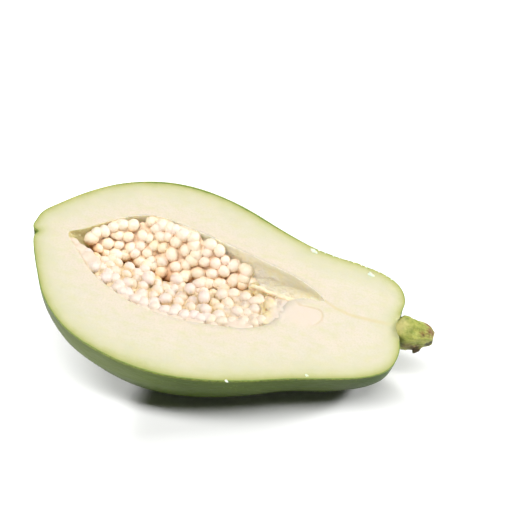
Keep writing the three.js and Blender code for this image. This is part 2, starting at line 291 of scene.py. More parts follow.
def store(mesh: bpy.types.Mesh, name: str, values: Sequence[float]) -> None:
    """Keeps one number for each vertex of a mesh, for materials to read.

    Args:
        mesh: The mesh.
        name: The attribute's name.
        values: One number a vertex.
    """
    attribute = mesh.attributes.get(name) or mesh.attributes.new(name, "FLOAT", "POINT")
    attribute.data.foreach_set("value", values)


def mark_places(
    mesh: bpy.types.Mesh, axes: FruitAxes, **looks: Callable[[Vector], float]
) -> list[Vector]:
    """Keeps each vertex's point in the fruit's axes, and what depends on it, for materials to read.

    Args:
        mesh: The mesh, in the row frame.
        axes: The fruit's axes.
        looks: Attributes' names and what gives their values at a point.

    Returns:
        The points, in millimetres.
    """
    points = [axes.local(vertex.co) for vertex in mesh.vertices]
    attribute = mesh.attributes.new("fruit_place", "FLOAT_VECTOR", "POINT")
    attribute.data.foreach_set("vector", [value for point in points for value in point])
    for name, look in looks.items():
        store(mesh, name, [look(point) for point in points])
    return points


def modify(item: bpy.types.Object, kind: str, **settings: object) -> None:
    """Adds a modifier to an object and applies it.

    Args:
        item: The object.
        kind: The kind of modifier.
        settings: The modifier's own settings.
    """
    pick(item)
    bpy.ops.object.modifier_add(type=kind)
    modifier = item.modifiers[-1]
    for name, value in settings.items():
        setattr(modifier, name, value)
    bpy.ops.object.modifier_apply(modifier=modifier.name)


def round_off(item: bpy.types.Object, levels: int = 2) -> None:
    """Smooths a mesh with Subdivision Surface."""
    modify(item, "SUBSURF", levels=levels, render_levels=levels)


def melt(item: bpy.types.Object, voxel: float, rounds: int) -> None:
    """Melts a mesh's overlapping parts into one soft skin.

    Args:
        item: The object.
        voxel: The size of the new mesh's cells, in millimetres.
        rounds: How many times it is smoothed.
    """
    modify(item, "REMESH", mode="VOXEL", voxel_size=voxel * MM)
    modify(item, "SMOOTH", factor=0.5, iterations=rounds)


def finish_piece(
    item: bpy.types.Object, slot: str, *nodes: str, sharp_degrees: float | None = None
) -> bpy.types.Object:
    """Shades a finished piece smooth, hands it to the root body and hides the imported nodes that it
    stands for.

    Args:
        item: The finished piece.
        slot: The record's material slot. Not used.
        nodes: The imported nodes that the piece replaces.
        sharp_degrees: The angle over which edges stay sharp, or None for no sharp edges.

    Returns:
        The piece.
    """
    pick(item)
    if sharp_degrees is None:
        bpy.ops.object.shade_smooth()
    else:
        bpy.ops.object.shade_smooth_by_angle(angle=math.radians(sharp_degrees))
    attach(item, "root")
    if nodes:
        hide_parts(*nodes)
    LOG.info("%s: %d faces", item.name, len(item.data.polygons))
    return item


def swell(
    mesh: bpy.types.Mesh,
    axes: FruitAxes,
    lift: Callable[[Vector], float],
    among: Iterable[int] | None = None,
) -> None:
    """Moves points of a mesh along their normals.

    Args:
        mesh: The mesh.
        axes: The fruit's axes.
        lift: Gives how far in millimetres for a place in those axes.
        among: The vertices that move, or None for all.
    """
    chosen = range(len(mesh.vertices)) if among is None else among
    normals = {index: mesh.vertices[index].normal.copy() for index in chosen}
    for index, normal in normals.items():
        vertex = mesh.vertices[index]
        vertex.co += normal * lift(axes.local(vertex.co)) * MM


def split_edges(
    item: bpy.types.Object, wanted: Callable[[bpy.types.MeshEdge], bool], rounds: int
) -> None:
    """Halves the edges of a mesh that a test accepts, again and again.

    Args:
        item: The mesh object, in object mode.
        wanted: The test, given an edge.
        rounds: How often.
    """
    for _ in range(rounds):
        select(item, "edges", wanted)
        with editing(item, "EDGE"):
            bpy.ops.mesh.subdivide(number_cuts=1, ngon=False)


def join(name: str, parts: Sequence[bpy.types.Object]) -> bpy.types.Object:
    """Joins objects into one piece.

    Args:
        name: The piece's name.
        parts: The objects.

    Returns:
        The joined piece.
    """
    pick(*parts)
    bpy.ops.object.join()
    whole = bpy.context.active_object
    whole.name = whole.data.name = name
    return whole


def push_out(step: Vector, middle: Vector, growth: float) -> None:
    """Extrudes the selected end of a mesh and changes its width.

    Args:
        step: How far it moves, in metres.
        middle: The middle of the new ring.
        growth: The new width as a share of the old one.
    """
    bpy.ops.mesh.extrude_region_move(TRANSFORM_OT_translate={"value": tuple(step)})
    bpy.ops.transform.resize(value=(growth,) * 3, center_override=tuple(middle))


def draw_out(
    name: str, axes: FruitAxes, rings: Sequence[Ring], sides: int, dimple: float = 0.0
) -> bpy.types.Object:
    """Extrudes a closed stalk or strand ring by ring.

    Args:
        name: Its name.
        axes: The fruit's axes.
        rings: The rings, as (x, y, z, radius) in millimetres.
        sides: How many sides it has.
        dimple: How far its last end is sunk in, in millimetres.

    Returns:
        The stalk.
    """
    middles = [axes.place(ring[:3]) for ring in rings]
    along = (middles[1] - middles[0]).normalized()
    pick()
    bpy.ops.mesh.primitive_circle_add(
        vertices=sides,
        radius=rings[0][3] * MM,
        fill_type="NGON",
        location=middles[0],
        rotation=along.to_track_quat("Z", "Y").to_euler(),
    )
    stalk = bpy.context.active_object
    stalk.name = name
    bpy.ops.object.transform_apply(location=True, rotation=True, scale=True)
    select(stalk, "polygons", lambda face: True)
    with editing(stalk):
        for place, after, before, ring in zip(middles, middles[1:], rings, rings[1:]):
            push_out(after - place, after, ring[3] / before[3])
        if dimple:
            push_out(along * 0.1 * MM, middles[-1], 0.72)  # a narrow lip round the dimple
            push_out(along * -dimple * MM, middles[-1], 0.7)
        bpy.ops.mesh.poke()
        bpy.ops.mesh.select_all(action="SELECT")
        bpy.ops.mesh.normals_make_consistent(inside=False)
    return stalk


def ball(name: str, place: Vector, shape: Matrix, rings: int = 12) -> bpy.types.Object:
    """Adds a round lump with its place and shape in its mesh.

    Args:
        name: Its name.
        place: Its middle, in metres.
        shape: The turn and the half sizes that a ball of radius 1 gets.
        rings: How many rings of faces it has.

    Returns:
        The lump.
    """
    pick()
    bpy.ops.mesh.primitive_uv_sphere_add(segments=2 * rings - 4, ring_count=rings, radius=1.0)
    lump = bpy.context.active_object
    lump.name = name
    whole = shape.to_4x4()
    whole.translation = place
    lump.data.transform(whole)
    return lump


def lumps_of(
    name: str, axes: FruitAxes, lumps: Iterable[Sequence[float]], rings: int = 12
) -> list[bpy.types.Object]:
    """Adds lumps that lie along the fruit's axes.

    Args:
        name: Their name.
        axes: The fruit's axes.
        lumps: Their middles and half sizes, (x, y, z, along x, along y, along z) in millimetres.
        rings: How many rings of faces each has.

    Returns:
        The lumps.
    """
    return [
        ball(name, axes.place(lump[:3]), axes.turn @ Matrix.Diagonal(Vector(lump[3:]) * MM), rings)
        for lump in lumps
    ]


def copy_of_node(frame: dict, node: str, name: str, quads: bool = True) -> bpy.types.Object:
    """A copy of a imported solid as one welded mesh.

    Args:
        node: The solid's node.
        name: The copy's name.
        quads: Whether pairs of triangles become quads.

    Returns:
        The copy.
    """
    pick(frame["nodes"][node])
    bpy.ops.object.duplicate()
    copy = bpy.context.active_object
    copy.parent = None
    copy.name = name
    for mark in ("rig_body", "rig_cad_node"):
        if mark in copy:
            del copy[mark]
    copy.data.materials.clear()
    with editing(copy):
        bpy.ops.mesh.select_all(action="SELECT")
        bpy.ops.mesh.remove_doubles(threshold=WELD)
        if quads:
            bpy.ops.mesh.tris_convert_to_quads(face_threshold=0.7, shape_threshold=0.9)
    return copy


def search_tree(points: Sequence[Sequence[float]]) -> KDTree:
    """A search tree of points laid flat on the cut face.

    Args:
        points: The points, in the fruit's axes.

    Returns:
        The tree, balanced.
    """
    tree = KDTree(len(points))
    for number, point in enumerate(points):
        tree.insert((point[0], point[1], 0), number)
    tree.balance()
    return tree


# ---- materials -----------------------------------------------------------------------------------


@dataclass(frozen=True)
class Clouds:
    """Soft noise over the fruit.

    Attributes:
        scale: Waves a millimetre.
        detail: Octaves.
        roughness: How strong the finer octaves are.
        along: How fine it is along the fruit, as a share of across.
        low: The noise at which a patch begins.
        high: The noise at which a patch is full.
    """

    scale: float
    detail: float = 3.0
    roughness: float = 0.6
    along: float = 1.0
    low: float = 0.0
    high: float = 1.0


@dataclass(frozen=True)
class Glow:
    """How light goes through a finish.

    Attributes:
        weight: The share of the light that does.
        depth: How deep it goes, in millimetres.
        reach: How far red, green and blue go, as shares of that.
    """

    weight: float
    depth: float
    reach: Point


class Recipe:
    """A material's nodes, put together step by step, with the colour that they give so far."""

    def __init__(self, name: str, colour: object = None) -> None:
        """Starts a material with nothing but its output.

        Args:
            name: The material's name.
            colour: The colour that the others are laid over.
        """
        self.material = bpy.data.materials.new(name)
        self.material.use_nodes = True
        self.tree = self.material.node_tree
        self.tree.nodes.clear()
        self.colour = colour

    def node(self, kind: str, inputs: dict, **settings: object) -> bpy.types.Node:
        """Adds a node.

        Args:
            kind: Its kind, without ShaderNode.
            inputs: What its sockets get by name or number, each a link or a fixed value.
            settings: Its own settings.

        Returns:
            The node.
        """
        made = self.tree.nodes.new("ShaderNode" + kind)
        for name, value in settings.items():
            setattr(made, name, value)
        for socket, value in inputs.items():
            if isinstance(value, Socket):
                self.tree.links.new(value, made.inputs[socket])
            else:
                made.inputs[socket].default_value = value
        return made

    def read(self, name: str, output: str = "Fac") -> Socket:
        """Reads an attribute of the mesh."""
        return self.node("Attribute", {}, attribute_name=name).outputs[output]

    def place(self, scale: Sequence[float], shift: Sequence[float] = (0.0, 0.0, 0.0)) -> Socket:
        """The point in the fruit's axes, in millimetres, scaled and shifted."""
        inputs = {"Vector": self.read("fruit_place", "Vector"), "Scale": scale, "Location": shift}
        return self.node("Mapping", inputs).outputs["Vector"]

    def noise(self, clouds: Clouds) -> Socket:
        """Clouds as plain noise, from 0 to 1.

        Args:
            clouds: The clouds.

        Returns:
            The noise.
        """
        inputs = {
            "Vector": self.place((clouds.along, 1.0, 1.0)),
            "Scale": clouds.scale,
            "Detail": clouds.detail,
            "Roughness": clouds.roughness,
        }
        return self.node("TexNoise", inputs).outputs["Fac"]

    def patches(self, clouds: Clouds) -> Socket:
        """Clouds as patches, from 0 between them to 1 where they are full."""
        return self.span(self.noise(clouds), clouds.low, clouds.high)

    def spot(self, middle: Point, reach: Point) -> Socket:
        """A soft round patch.

        Args:
            middle: Its middle, in the fruit's axes.
            reach: Its half sizes along them, in millimetres.

        Returns:
            Its strength, from 1 in the middle to 0 at its edge.
        """
        shift = [-m / size for m, size in zip(middle, reach)]
        inputs = {"Vector": self.place([1 / size for size in reach], shift)}
        return self.node("TexGradient", inputs, gradient_type="SPHERICAL").outputs["Fac"]

    def span(
        self, value: object, low: float, high: float, start: float = 0.0, end: float = 1.0
    ) -> Socket:
        """A value brought from low..high to start..end, held there at both ends.

        Args:
            value: The value.
            low: What becomes the start.
            high: What becomes the end.
            start: The result's start.
            end: The result's end.

        Returns:
            The result.
        """
        inputs = {"Value": value, "From Min": low, "From Max": high, "To Min": start, "To Max": end}
        return self.node("MapRange", inputs, clamp=True).outputs["Result"]

    def math(self, operation: str, *values: object) -> Socket:
        """Arithmetic on two or three values."""
        return self.node("Math", dict(enumerate(values)), operation=operation).outputs["Value"]

    def times(self, first: object, second: object) -> Socket:
        """The product of two values."""
        return self.math("MULTIPLY", first, second)

    def ramp(self, factor: Socket, stops: Stops) -> None:
        """Makes the colour so far one that runs along a factor.

        Args:
            factor: The factor, from 0 to 1.
            stops: Places and their colours, in rising order.
        """
        made = self.node("ValToRGB", {"Fac": factor})
        band = made.color_ramp.elements
        band[0].position, band[0].color = stops[0]
        band[1].position, band[1].color = stops[-1]
        for position, colour in stops[1:-1]:
            band.new(position).color = colour
        self.colour = made.outputs["Color"]

    def lay(self, colour: Colour, where: object, share: float = 1.0) -> None:
        """Lays a colour over the colour so far.

        Args:
            colour: The colour.
            where: How strong it is at each point, from 0 to 1.
            share: How strong it is at most.
        """
        if share != 1.0:
            where = self.times(where, share)
        made = self.node("Mix", {0: where, 6: self.colour, 7: colour}, data_type="RGBA")
        self.colour = made.outputs[2]

    def relief(self, *layers: tuple[Socket, float]) -> Socket:
        """Fine relief in the shading.

        Args:
            layers: Heights, from 0 to 1, and their depths in millimetres, the finest first.

        Returns:
            The normal.
        """
        inputs: dict[str, object] = {"Strength": 1.0}
        for height, depth in layers:
            bump = self.node("Bump", {**inputs, "Height": height, "Distance": depth * MM})
            inputs["Normal"] = bump.outputs["Normal"]
        return inputs["Normal"]

    def finish(
        self, roughness: object, glow: Glow | None = None, **inputs: object
    ) -> bpy.types.Material:
        """Ends the recipe in a Principled shader.

        Args:
            roughness: The roughness.
            glow: How light goes through.
            inputs: The shader's other inputs, with _ for a space.

        Returns:
            The material.
        """
        given = {"Base Color": self.colour, "Roughness": roughness, "IOR": MOIST_IOR}
        if glow is not None:
            given["Subsurface Weight"] = glow.weight
            given["Subsurface Radius"] = glow.reach
            given["Subsurface Scale"] = glow.depth * MM
        given.update((name.replace("_", " "), value) for name, value in inputs.items())
        shader = self.node("BsdfPrincipled", given)
        self.node("OutputMaterial", {"Surface": shader.outputs["BSDF"]})
        return self.material


@dataclass(frozen=True)
class FleshFinish:
    """The cut flesh: cream by the seeds, then yellow-green, with a thin dark line at the skin."""

    rim: Colour = paint(112, 136, 62)
    under_skin: Colour = paint(167, 171, 102)
    outer: Colour = paint(186, 187, 131)
    green: Colour = paint(199, 198, 154)
    pale: Colour = paint(206, 203, 173)
    middle: Colour = paint(214, 208, 187)
    inner: Colour = paint(217, 208, 191)
    core: Colour = paint(222, 208, 190)
    rosy: Colour = paint(224, 210, 193)
    yellow: Colour = paint(209, 206, 162)
    grain: Colour = paint(206, 200, 168)
    tongue: Colour = paint(223, 208, 192)
    vein: Colour = paint(211, 197, 146)
    line: Colour = paint(206, 186, 140)
    reach: float = 20.0  # how far under the skin the colours run, in millimetres
    waver: float = 1.7  # how far they waver to each side
    greener_by: float = 1.3  # how much nearer to the skin they look at the lower left
    paler_by: float = 0.7  # and along the far rim
    core_reach: float = 13.0  # how far the colour by the seeds runs
    tongue_spot: Spot = ((149.0, -9.0, 0.0), (16.0, 10.0, 9.0))
    greener_spot: Spot = ((72.0, -56.0, 0.0), (34.0, 18.0, 12.0))
    paler_spot: Spot = ((98.0, 60.0, 0.0), (98.0, 34.0, 20.0))
    waves: Clouds = Clouds(0.12, detail=4.0)
    rosy_patches: Clouds = Clouds(0.11, roughness=0.55, along=0.6, low=0.42, high=0.64)
    mottle: Clouds = Clouds(0.3, along=0.45, low=0.46, high=0.7)
    grains: Clouds = Clouds(0.9, detail=4.0, roughness=0.65, low=0.44, high=0.85)
    wet: Clouds = Clouds(0.25, roughness=0.5, low=0.3, high=0.75)
    fine: Clouds = Clouds(1.6, detail=4.0)
    coarse: Clouds = Clouds(0.16, roughness=0.5)
    glow: Glow = Glow(0.35, 4.0, (1.0, 0.75, 0.45))

    def material(self) -> bpy.types.Material:
        """Builds the flesh's material.

        Returns:
            The material.
        """
        recipe = Recipe("papaya_flesh")
        under = recipe.read("skin_depth")
        recipe.ramp(
            recipe.span(self.depth(recipe, under), 0.0, self.reach),
            [
                (0.0, self.rim),
                (0.014, self.rim),
                (0.03, self.under_skin),
                (0.09, self.outer),
                (0.19, self.green),
                (0.34, self.pale),
                (0.7, self.middle),
                (1.0, self.inner),
            ],
        )
        recipe.lay(self.core, recipe.span(recipe.read("seed_depth"), self.core_reach, 1.0), 0.75)
        inside = recipe.span(under, 1.5, 9.0)
        recipe.lay(self.rosy, recipe.times(recipe.patches(self.rosy_patches), inside), 0.36)
        recipe.lay(self.yellow, recipe.times(recipe.patches(self.mottle), inside), 0.62)
        recipe.lay(self.grain, recipe.times(recipe.patches(self.grains), inside))
        tongue = recipe.spot(*self.tongue_spot)
        recipe.lay(self.tongue, recipe.span(tongue, 0.1, 0.5), 0.8)
        recipe.lay(self.vein, recipe.read("vein"))
        recipe.lay(self.line, recipe.read("groove"))
        wet = recipe.span(recipe.noise(self.wet), self.wet.low, self.wet.high, 0.42, 0.58)
        normal = recipe.relief((recipe.noise(self.fine), 0.12), (recipe.noise(self.coarse), 0.5))
        return recipe.finish(wet, self.glow, Normal=normal)

    def depth(self, recipe: Recipe, under: Socket) -> Socket:
        """How deep under the skin the flesh looks, in millimetres.

        Args:
            recipe: The recipe.
            under: How deep it is.

        Returns:
            The depth, wavering, with less of it at the lower left and along the far rim.
        """
        waver = recipe.math("MULTIPLY_ADD", recipe.noise(self.waves), 2 * self.waver, -self.waver)
        depth = recipe.math("ADD", under, recipe.times(waver, recipe.span(under, 0.0, 3.0)))
        greener = recipe.times(recipe.spot(*self.greener_spot), recipe.span(under, 0.6, 3.0))
        depth = recipe.math("ADD", depth, recipe.times(greener, -self.greener_by))
        paler = recipe.span(recipe.spot(*self.paler_spot), 0.0, 0.5)
        return recipe.math("ADD", depth, recipe.times(paler, -self.paler_by))


@dataclass(frozen=True)
class SkinFinish:
    """The skin: glossy deep green with paler ridges, lengthwise streaks and fine dots, and painted
    shade that darkens it towards the floor.
    """

    deep: Colour = paint(56, 72, 14)
    green: Colour = paint(78, 98, 20)
    ridge: Colour = paint(112, 130, 34)
    streak: Colour = paint(108, 136, 58)
    dot: Colour = paint(142, 156, 72)
    # a paler patch on the lower left of the belly
    paler_lower_left: Colour = paint(132, 144, 80)
    stem_end: Colour = paint(62, 102, 34)
    # painted shade: darker skin towards the floor
    under: Colour = paint(34, 46, 10)
    lip: Colour = paint(150, 160, 62)
    broad: Clouds = Clouds(0.03, detail=4.0, along=0.55, low=0.3, high=0.72)
    ridges: Clouds = Clouds(0.045, along=0.4, low=0.32, high=0.7)
    streaks: Clouds = Clouds(0.9, along=0.09, low=0.52, high=0.8)
    dotted: Clouds = Clouds(0.08, roughness=0.5, low=0.45, high=0.65)
    lips: Clouds = Clouds(0.8, along=0.6, low=0.3, high=0.6)
    pores: Clouds = Clouds(1.3)
    waves: Clouds = Clouds(0.11, roughness=0.5, along=0.5)
    dots_a_millimetre: float = 0.42
    paler_lower_left_spot: Spot = ((42.0, -54.0, -8.0), (58.0, 34.0, 20.0))

    def material(self) -> bpy.types.Material:
        """Builds the skin's material.

        Returns:
            The material.
        """
        recipe = Recipe("papaya_skin", self.deep)
        recipe.lay(self.green, recipe.patches(self.broad))
        ridges = recipe.times(recipe.read("crest"), recipe.patches(self.ridges))
        recipe.lay(self.ridge, ridges, 0.8)
        recipe.lay(self.streak, recipe.patches(self.streaks), 0.28)
        inputs = {"Vector": recipe.place((0.8, 1.0, 1.0)), "Scale": self.dots_a_millimetre}
        dots = recipe.span(recipe.node("TexVoronoi", inputs).outputs["Distance"], 0.22, 0.08)
        recipe.lay(self.dot, recipe.times(dots, recipe.patches(self.dotted)), 0.5)
        recipe.lay(self.paler_lower_left, recipe.spot(*self.paler_lower_left_spot), 0.5)
        recipe.lay(self.stem_end, recipe.read("stem_end"), 0.45)
        # painted shade towards the floor
        recipe.lay(self.under, recipe.read("under"), 0.75)
        recipe.lay(self.lip, recipe.times(recipe.read("lip"), recipe.patches(self.lips)))
        normal = recipe.relief((recipe.noise(self.pores), 0.05), (recipe.noise(self.waves), 0.7))
        return recipe.finish(0.4, Normal=normal, Specular_IOR_Level=0.2)


@dataclass(frozen=True)
class WallFinish:
    """The wall of the seed cavity: beige with an olive tinge and fine lengthwise fibres, all painted
    lighter than its own colours as painted light for the shade it lies in.
    """

    beige: Colour = paint(255, 247, 222)
    olive: Colour = paint(254, 241, 194)
    rosy: Colour = paint(255, 244, 228)
    fibre: Colour = paint(252, 238, 196)
    # painted light: the lip just below the rim is lighter, for the shade it lies in
    lip: Colour = paint(255, 248, 232)
    # painted shade: brown where the wall lies under the seeds
    brown: Colour = paint(246, 214, 172)
    # painted shade: the near wall, which faces the light, is darker
    near: Colour = paint(222, 210, 184)
    tip: Colour = paint(232, 222, 166)
    mottle: Clouds = Clouds(0.4, detail=4.0, roughness=0.7, along=0.7, low=0.36, high=0.64)
    rosy_patches: Clouds = Clouds(0.12, low=0.42, high=0.66)
    fibres: Clouds = Clouds(1.6, along=0.16, low=0.48, high=0.72)
    bumps: Clouds = Clouds(0.5, detail=4.0)
    glow: Glow = Glow(0.5, 4.0, (1.0, 0.85, 0.6))

    def material(self) -> bpy.types.Material:
        """Builds the wall's material.

        Returns:
            The material.
        """
        recipe = Recipe("papaya_cavity_wall", self.olive)
        recipe.lay(self.beige, recipe.patches(self.mottle))
        below = recipe.read("wall_depth")
        lower = recipe.span(below, 3.0, 12.0)
        recipe.lay(self.rosy, recipe.math("ADD", recipe.patches(self.rosy_patches), lower), 0.5)
        fibres = recipe.patches(self.fibres)
        recipe.lay(self.fibre, fibres, 0.45)
        # painted light at the lip
        recipe.lay(self.lip, recipe.span(below, 4.0, 0.5), 0.6)
        # painted brown shade under the seeds
        recipe.lay(self.brown, recipe.read("seeded"))
        # painted shade on the near wall
        recipe.lay(self.near, recipe.read("near"), 0.8)
        recipe.lay(self.tip, recipe.read("tip"))
        normal = recipe.relief((fibres, 0.35), (recipe.noise(self.bumps), 0.6))
        return recipe.finish(0.4, self.glow, Normal=normal)


@dataclass(frozen=True)
class SeedFinish:
    """Young seeds in their moist arils: cream to rosy white, with painted warm and brown shade low
    down between them.
    """

    name: str
    cream: Colour
    rosy: Colour
    yellow: Colour
    pulp: Colour
    painted_warm_shade: Colour
    brown: Colour = paint(184, 120, 68)
    veil: Clouds = Clouds(0.7, low=0.35, high=0.75)
    bumps: Clouds = Clouds(0.9, roughness=0.55)
    glow: Glow = Glow(0.12, 1.2, (1.0, 0.7, 0.45))

    def material(self) -> bpy.types.Material:
        """Builds the seeds' material.

        Returns:
            The material.
        """
        recipe = Recipe(self.name)
        recipe.ramp(
            recipe.read("tint"),
            [(0.0, self.yellow), (0.25, self.cream), (0.5, self.cream), (1.0, self.rosy)],
        )
        recipe.lay(self.pulp, recipe.read("pulp"))
        recipe.lay(self.rosy, recipe.patches(self.veil), 0.3)
        # painted shade: warm low down between the seeds, and brown deeper down
        recipe.lay(self.painted_warm_shade, recipe.read("low"))
        recipe.lay(self.brown, recipe.read("deep"))
        normal = recipe.relief((recipe.noise(self.bumps), 0.35))
        return recipe.finish(
            0.36, self.glow, Normal=normal, Coat_Weight=0.1, Coat_Roughness=0.25
        )


FAR_SEEDS = SeedFinish(
    "papaya_seed_far",
    cream=paint(250, 234, 208),
    rosy=paint(252, 230, 212),
    yellow=paint(248, 230, 194),
    pulp=paint(244, 220, 192),
    painted_warm_shade=paint(250, 216, 176),
)
# painted shade: the near seeds' colours are darker than the far ones' to make up for the more light
# that the near wall catches
NEAR_SEEDS_PAINTED_DARKER = SeedFinish(
    "papaya_seed_near",
    cream=paint(235, 218, 204),
    rosy=paint(239, 219, 208),
    yellow=paint(233, 215, 188),
    pulp=paint(225, 207, 186),
    painted_warm_shade=paint(226, 202, 156),
)


@dataclass(frozen=True)
class PulpFinish:
    """The pale strand and pulp at the cavity's end, rosy on the flat tongue and yellow lower, with
    painted shadow in fine lines beside the strand.
    """

    yellow: Colour = paint(226, 206, 152)
    cream: Colour = paint(230, 214, 186)
    rosy: Colour = paint(223, 208, 190)
    strand: Colour = paint(240, 226, 196)
    # painted shadow: the fine lines beside the strand
    line: Colour = paint(206, 180, 128)
    mottle: Clouds = Clouds(0.3, low=0.35, high=0.7)
    fine: Clouds = Clouds(1.5)
    coarse: Clouds = Clouds(0.4, roughness=0.5)
    glow: Glow = Glow(0.45, 3.0, (1.0, 0.65, 0.35))

    def material(self) -> bpy.types.Material:
        """Builds the pulp's material.

        Returns:
            The material.
        """
        recipe = Recipe("papaya_pulp", self.yellow)
        recipe.lay(self.cream, recipe.patches(self.mottle))
        recipe.lay(self.rosy, recipe.read("tongue"))
        recipe.lay(self.strand, recipe.read("strand"))
        # painted shadow beside the strand
        recipe.lay(self.line, recipe.read("line"))
        normal = recipe.relief((recipe.noise(self.fine), 0.1), (recipe.noise(self.coarse), 0.5))
        return recipe.finish(0.36, self.glow, Normal=normal)


class Mark(Enum):
    """The marks on the stem, each with its colour."""

    BASE = paint(206, 198, 128)
    MOSS = paint(96, 118, 40)
    CREASE = paint(84, 92, 32)
    DULL = paint(118, 106, 58)
    RING = paint(136, 104, 50)
    SCAR = paint(52, 32, 18)
    BROWN = paint(120, 76, 52)
    SOOT = paint(66, 60, 50)
    DOT = paint(206, 176, 110)


@dataclass(frozen=True)
class StemFinish:
    """The stem: yellow-green with darker patches and the colours of its marks."""

    pale: Colour = paint(170, 172, 84)
    green: Colour = paint(134, 146, 60)
    speck: Colour = paint(140, 120, 64)
    streak: Colour = paint(186, 184, 110)
    broad: Clouds = Clouds(0.4, detail=4.0, roughness=0.7, along=0.7, low=0.42, high=0.64)
    specks: Clouds = Clouds(0.9, detail=4.0, roughness=0.7, low=0.58, high=0.72)
    streaks: Clouds = Clouds(1.4, along=0.3, low=0.5, high=0.75)
    fine: Clouds = Clouds(2.0, detail=4.0)
    coarse: Clouds = Clouds(0.5, along=0.6)

    def material(self) -> bpy.types.Material:
        """Builds the stem's material.

        Returns:
            The material.
        """
        recipe = Recipe("papaya_stem", self.pale)
        recipe.lay(self.green, recipe.patches(self.broad))
        recipe.lay(self.speck, recipe.patches(self.specks), 0.4)
        recipe.lay(self.streak, recipe.patches(self.streaks), 0.4)
        for mark in Mark:
            recipe.lay(mark.value, recipe.read(mark.name.lower()))
        normal = recipe.relief((recipe.noise(self.fine), 0.2), (recipe.noise(self.coarse), 0.7))
        return recipe.finish(0.55, Normal=normal)


@dataclass(frozen=True)
class LatexFinish:
    """Drops of white latex: glossy, with a little light going through."""

    milk: Colour = paint(232, 238, 220)
    greenish: Colour = paint(214, 224, 184)
    mottle: Clouds = Clouds(0.8, roughness=0.5, low=0.3, high=0.8)
    glow: Glow = Glow(0.4, 1.0, (1.0, 0.2, 0.1))

    def material(self) -> bpy.types.Material:
        """Builds the latex's material.

        Returns:
            The material.
        """
        recipe = Recipe("papaya_latex", self.milk)
        recipe.lay(self.greenish, recipe.patches(self.mottle))
        return recipe.finish(0.18, self.glow, IOR=1.45)


# ---- the fruit -----------------------------------------------------------------------------------


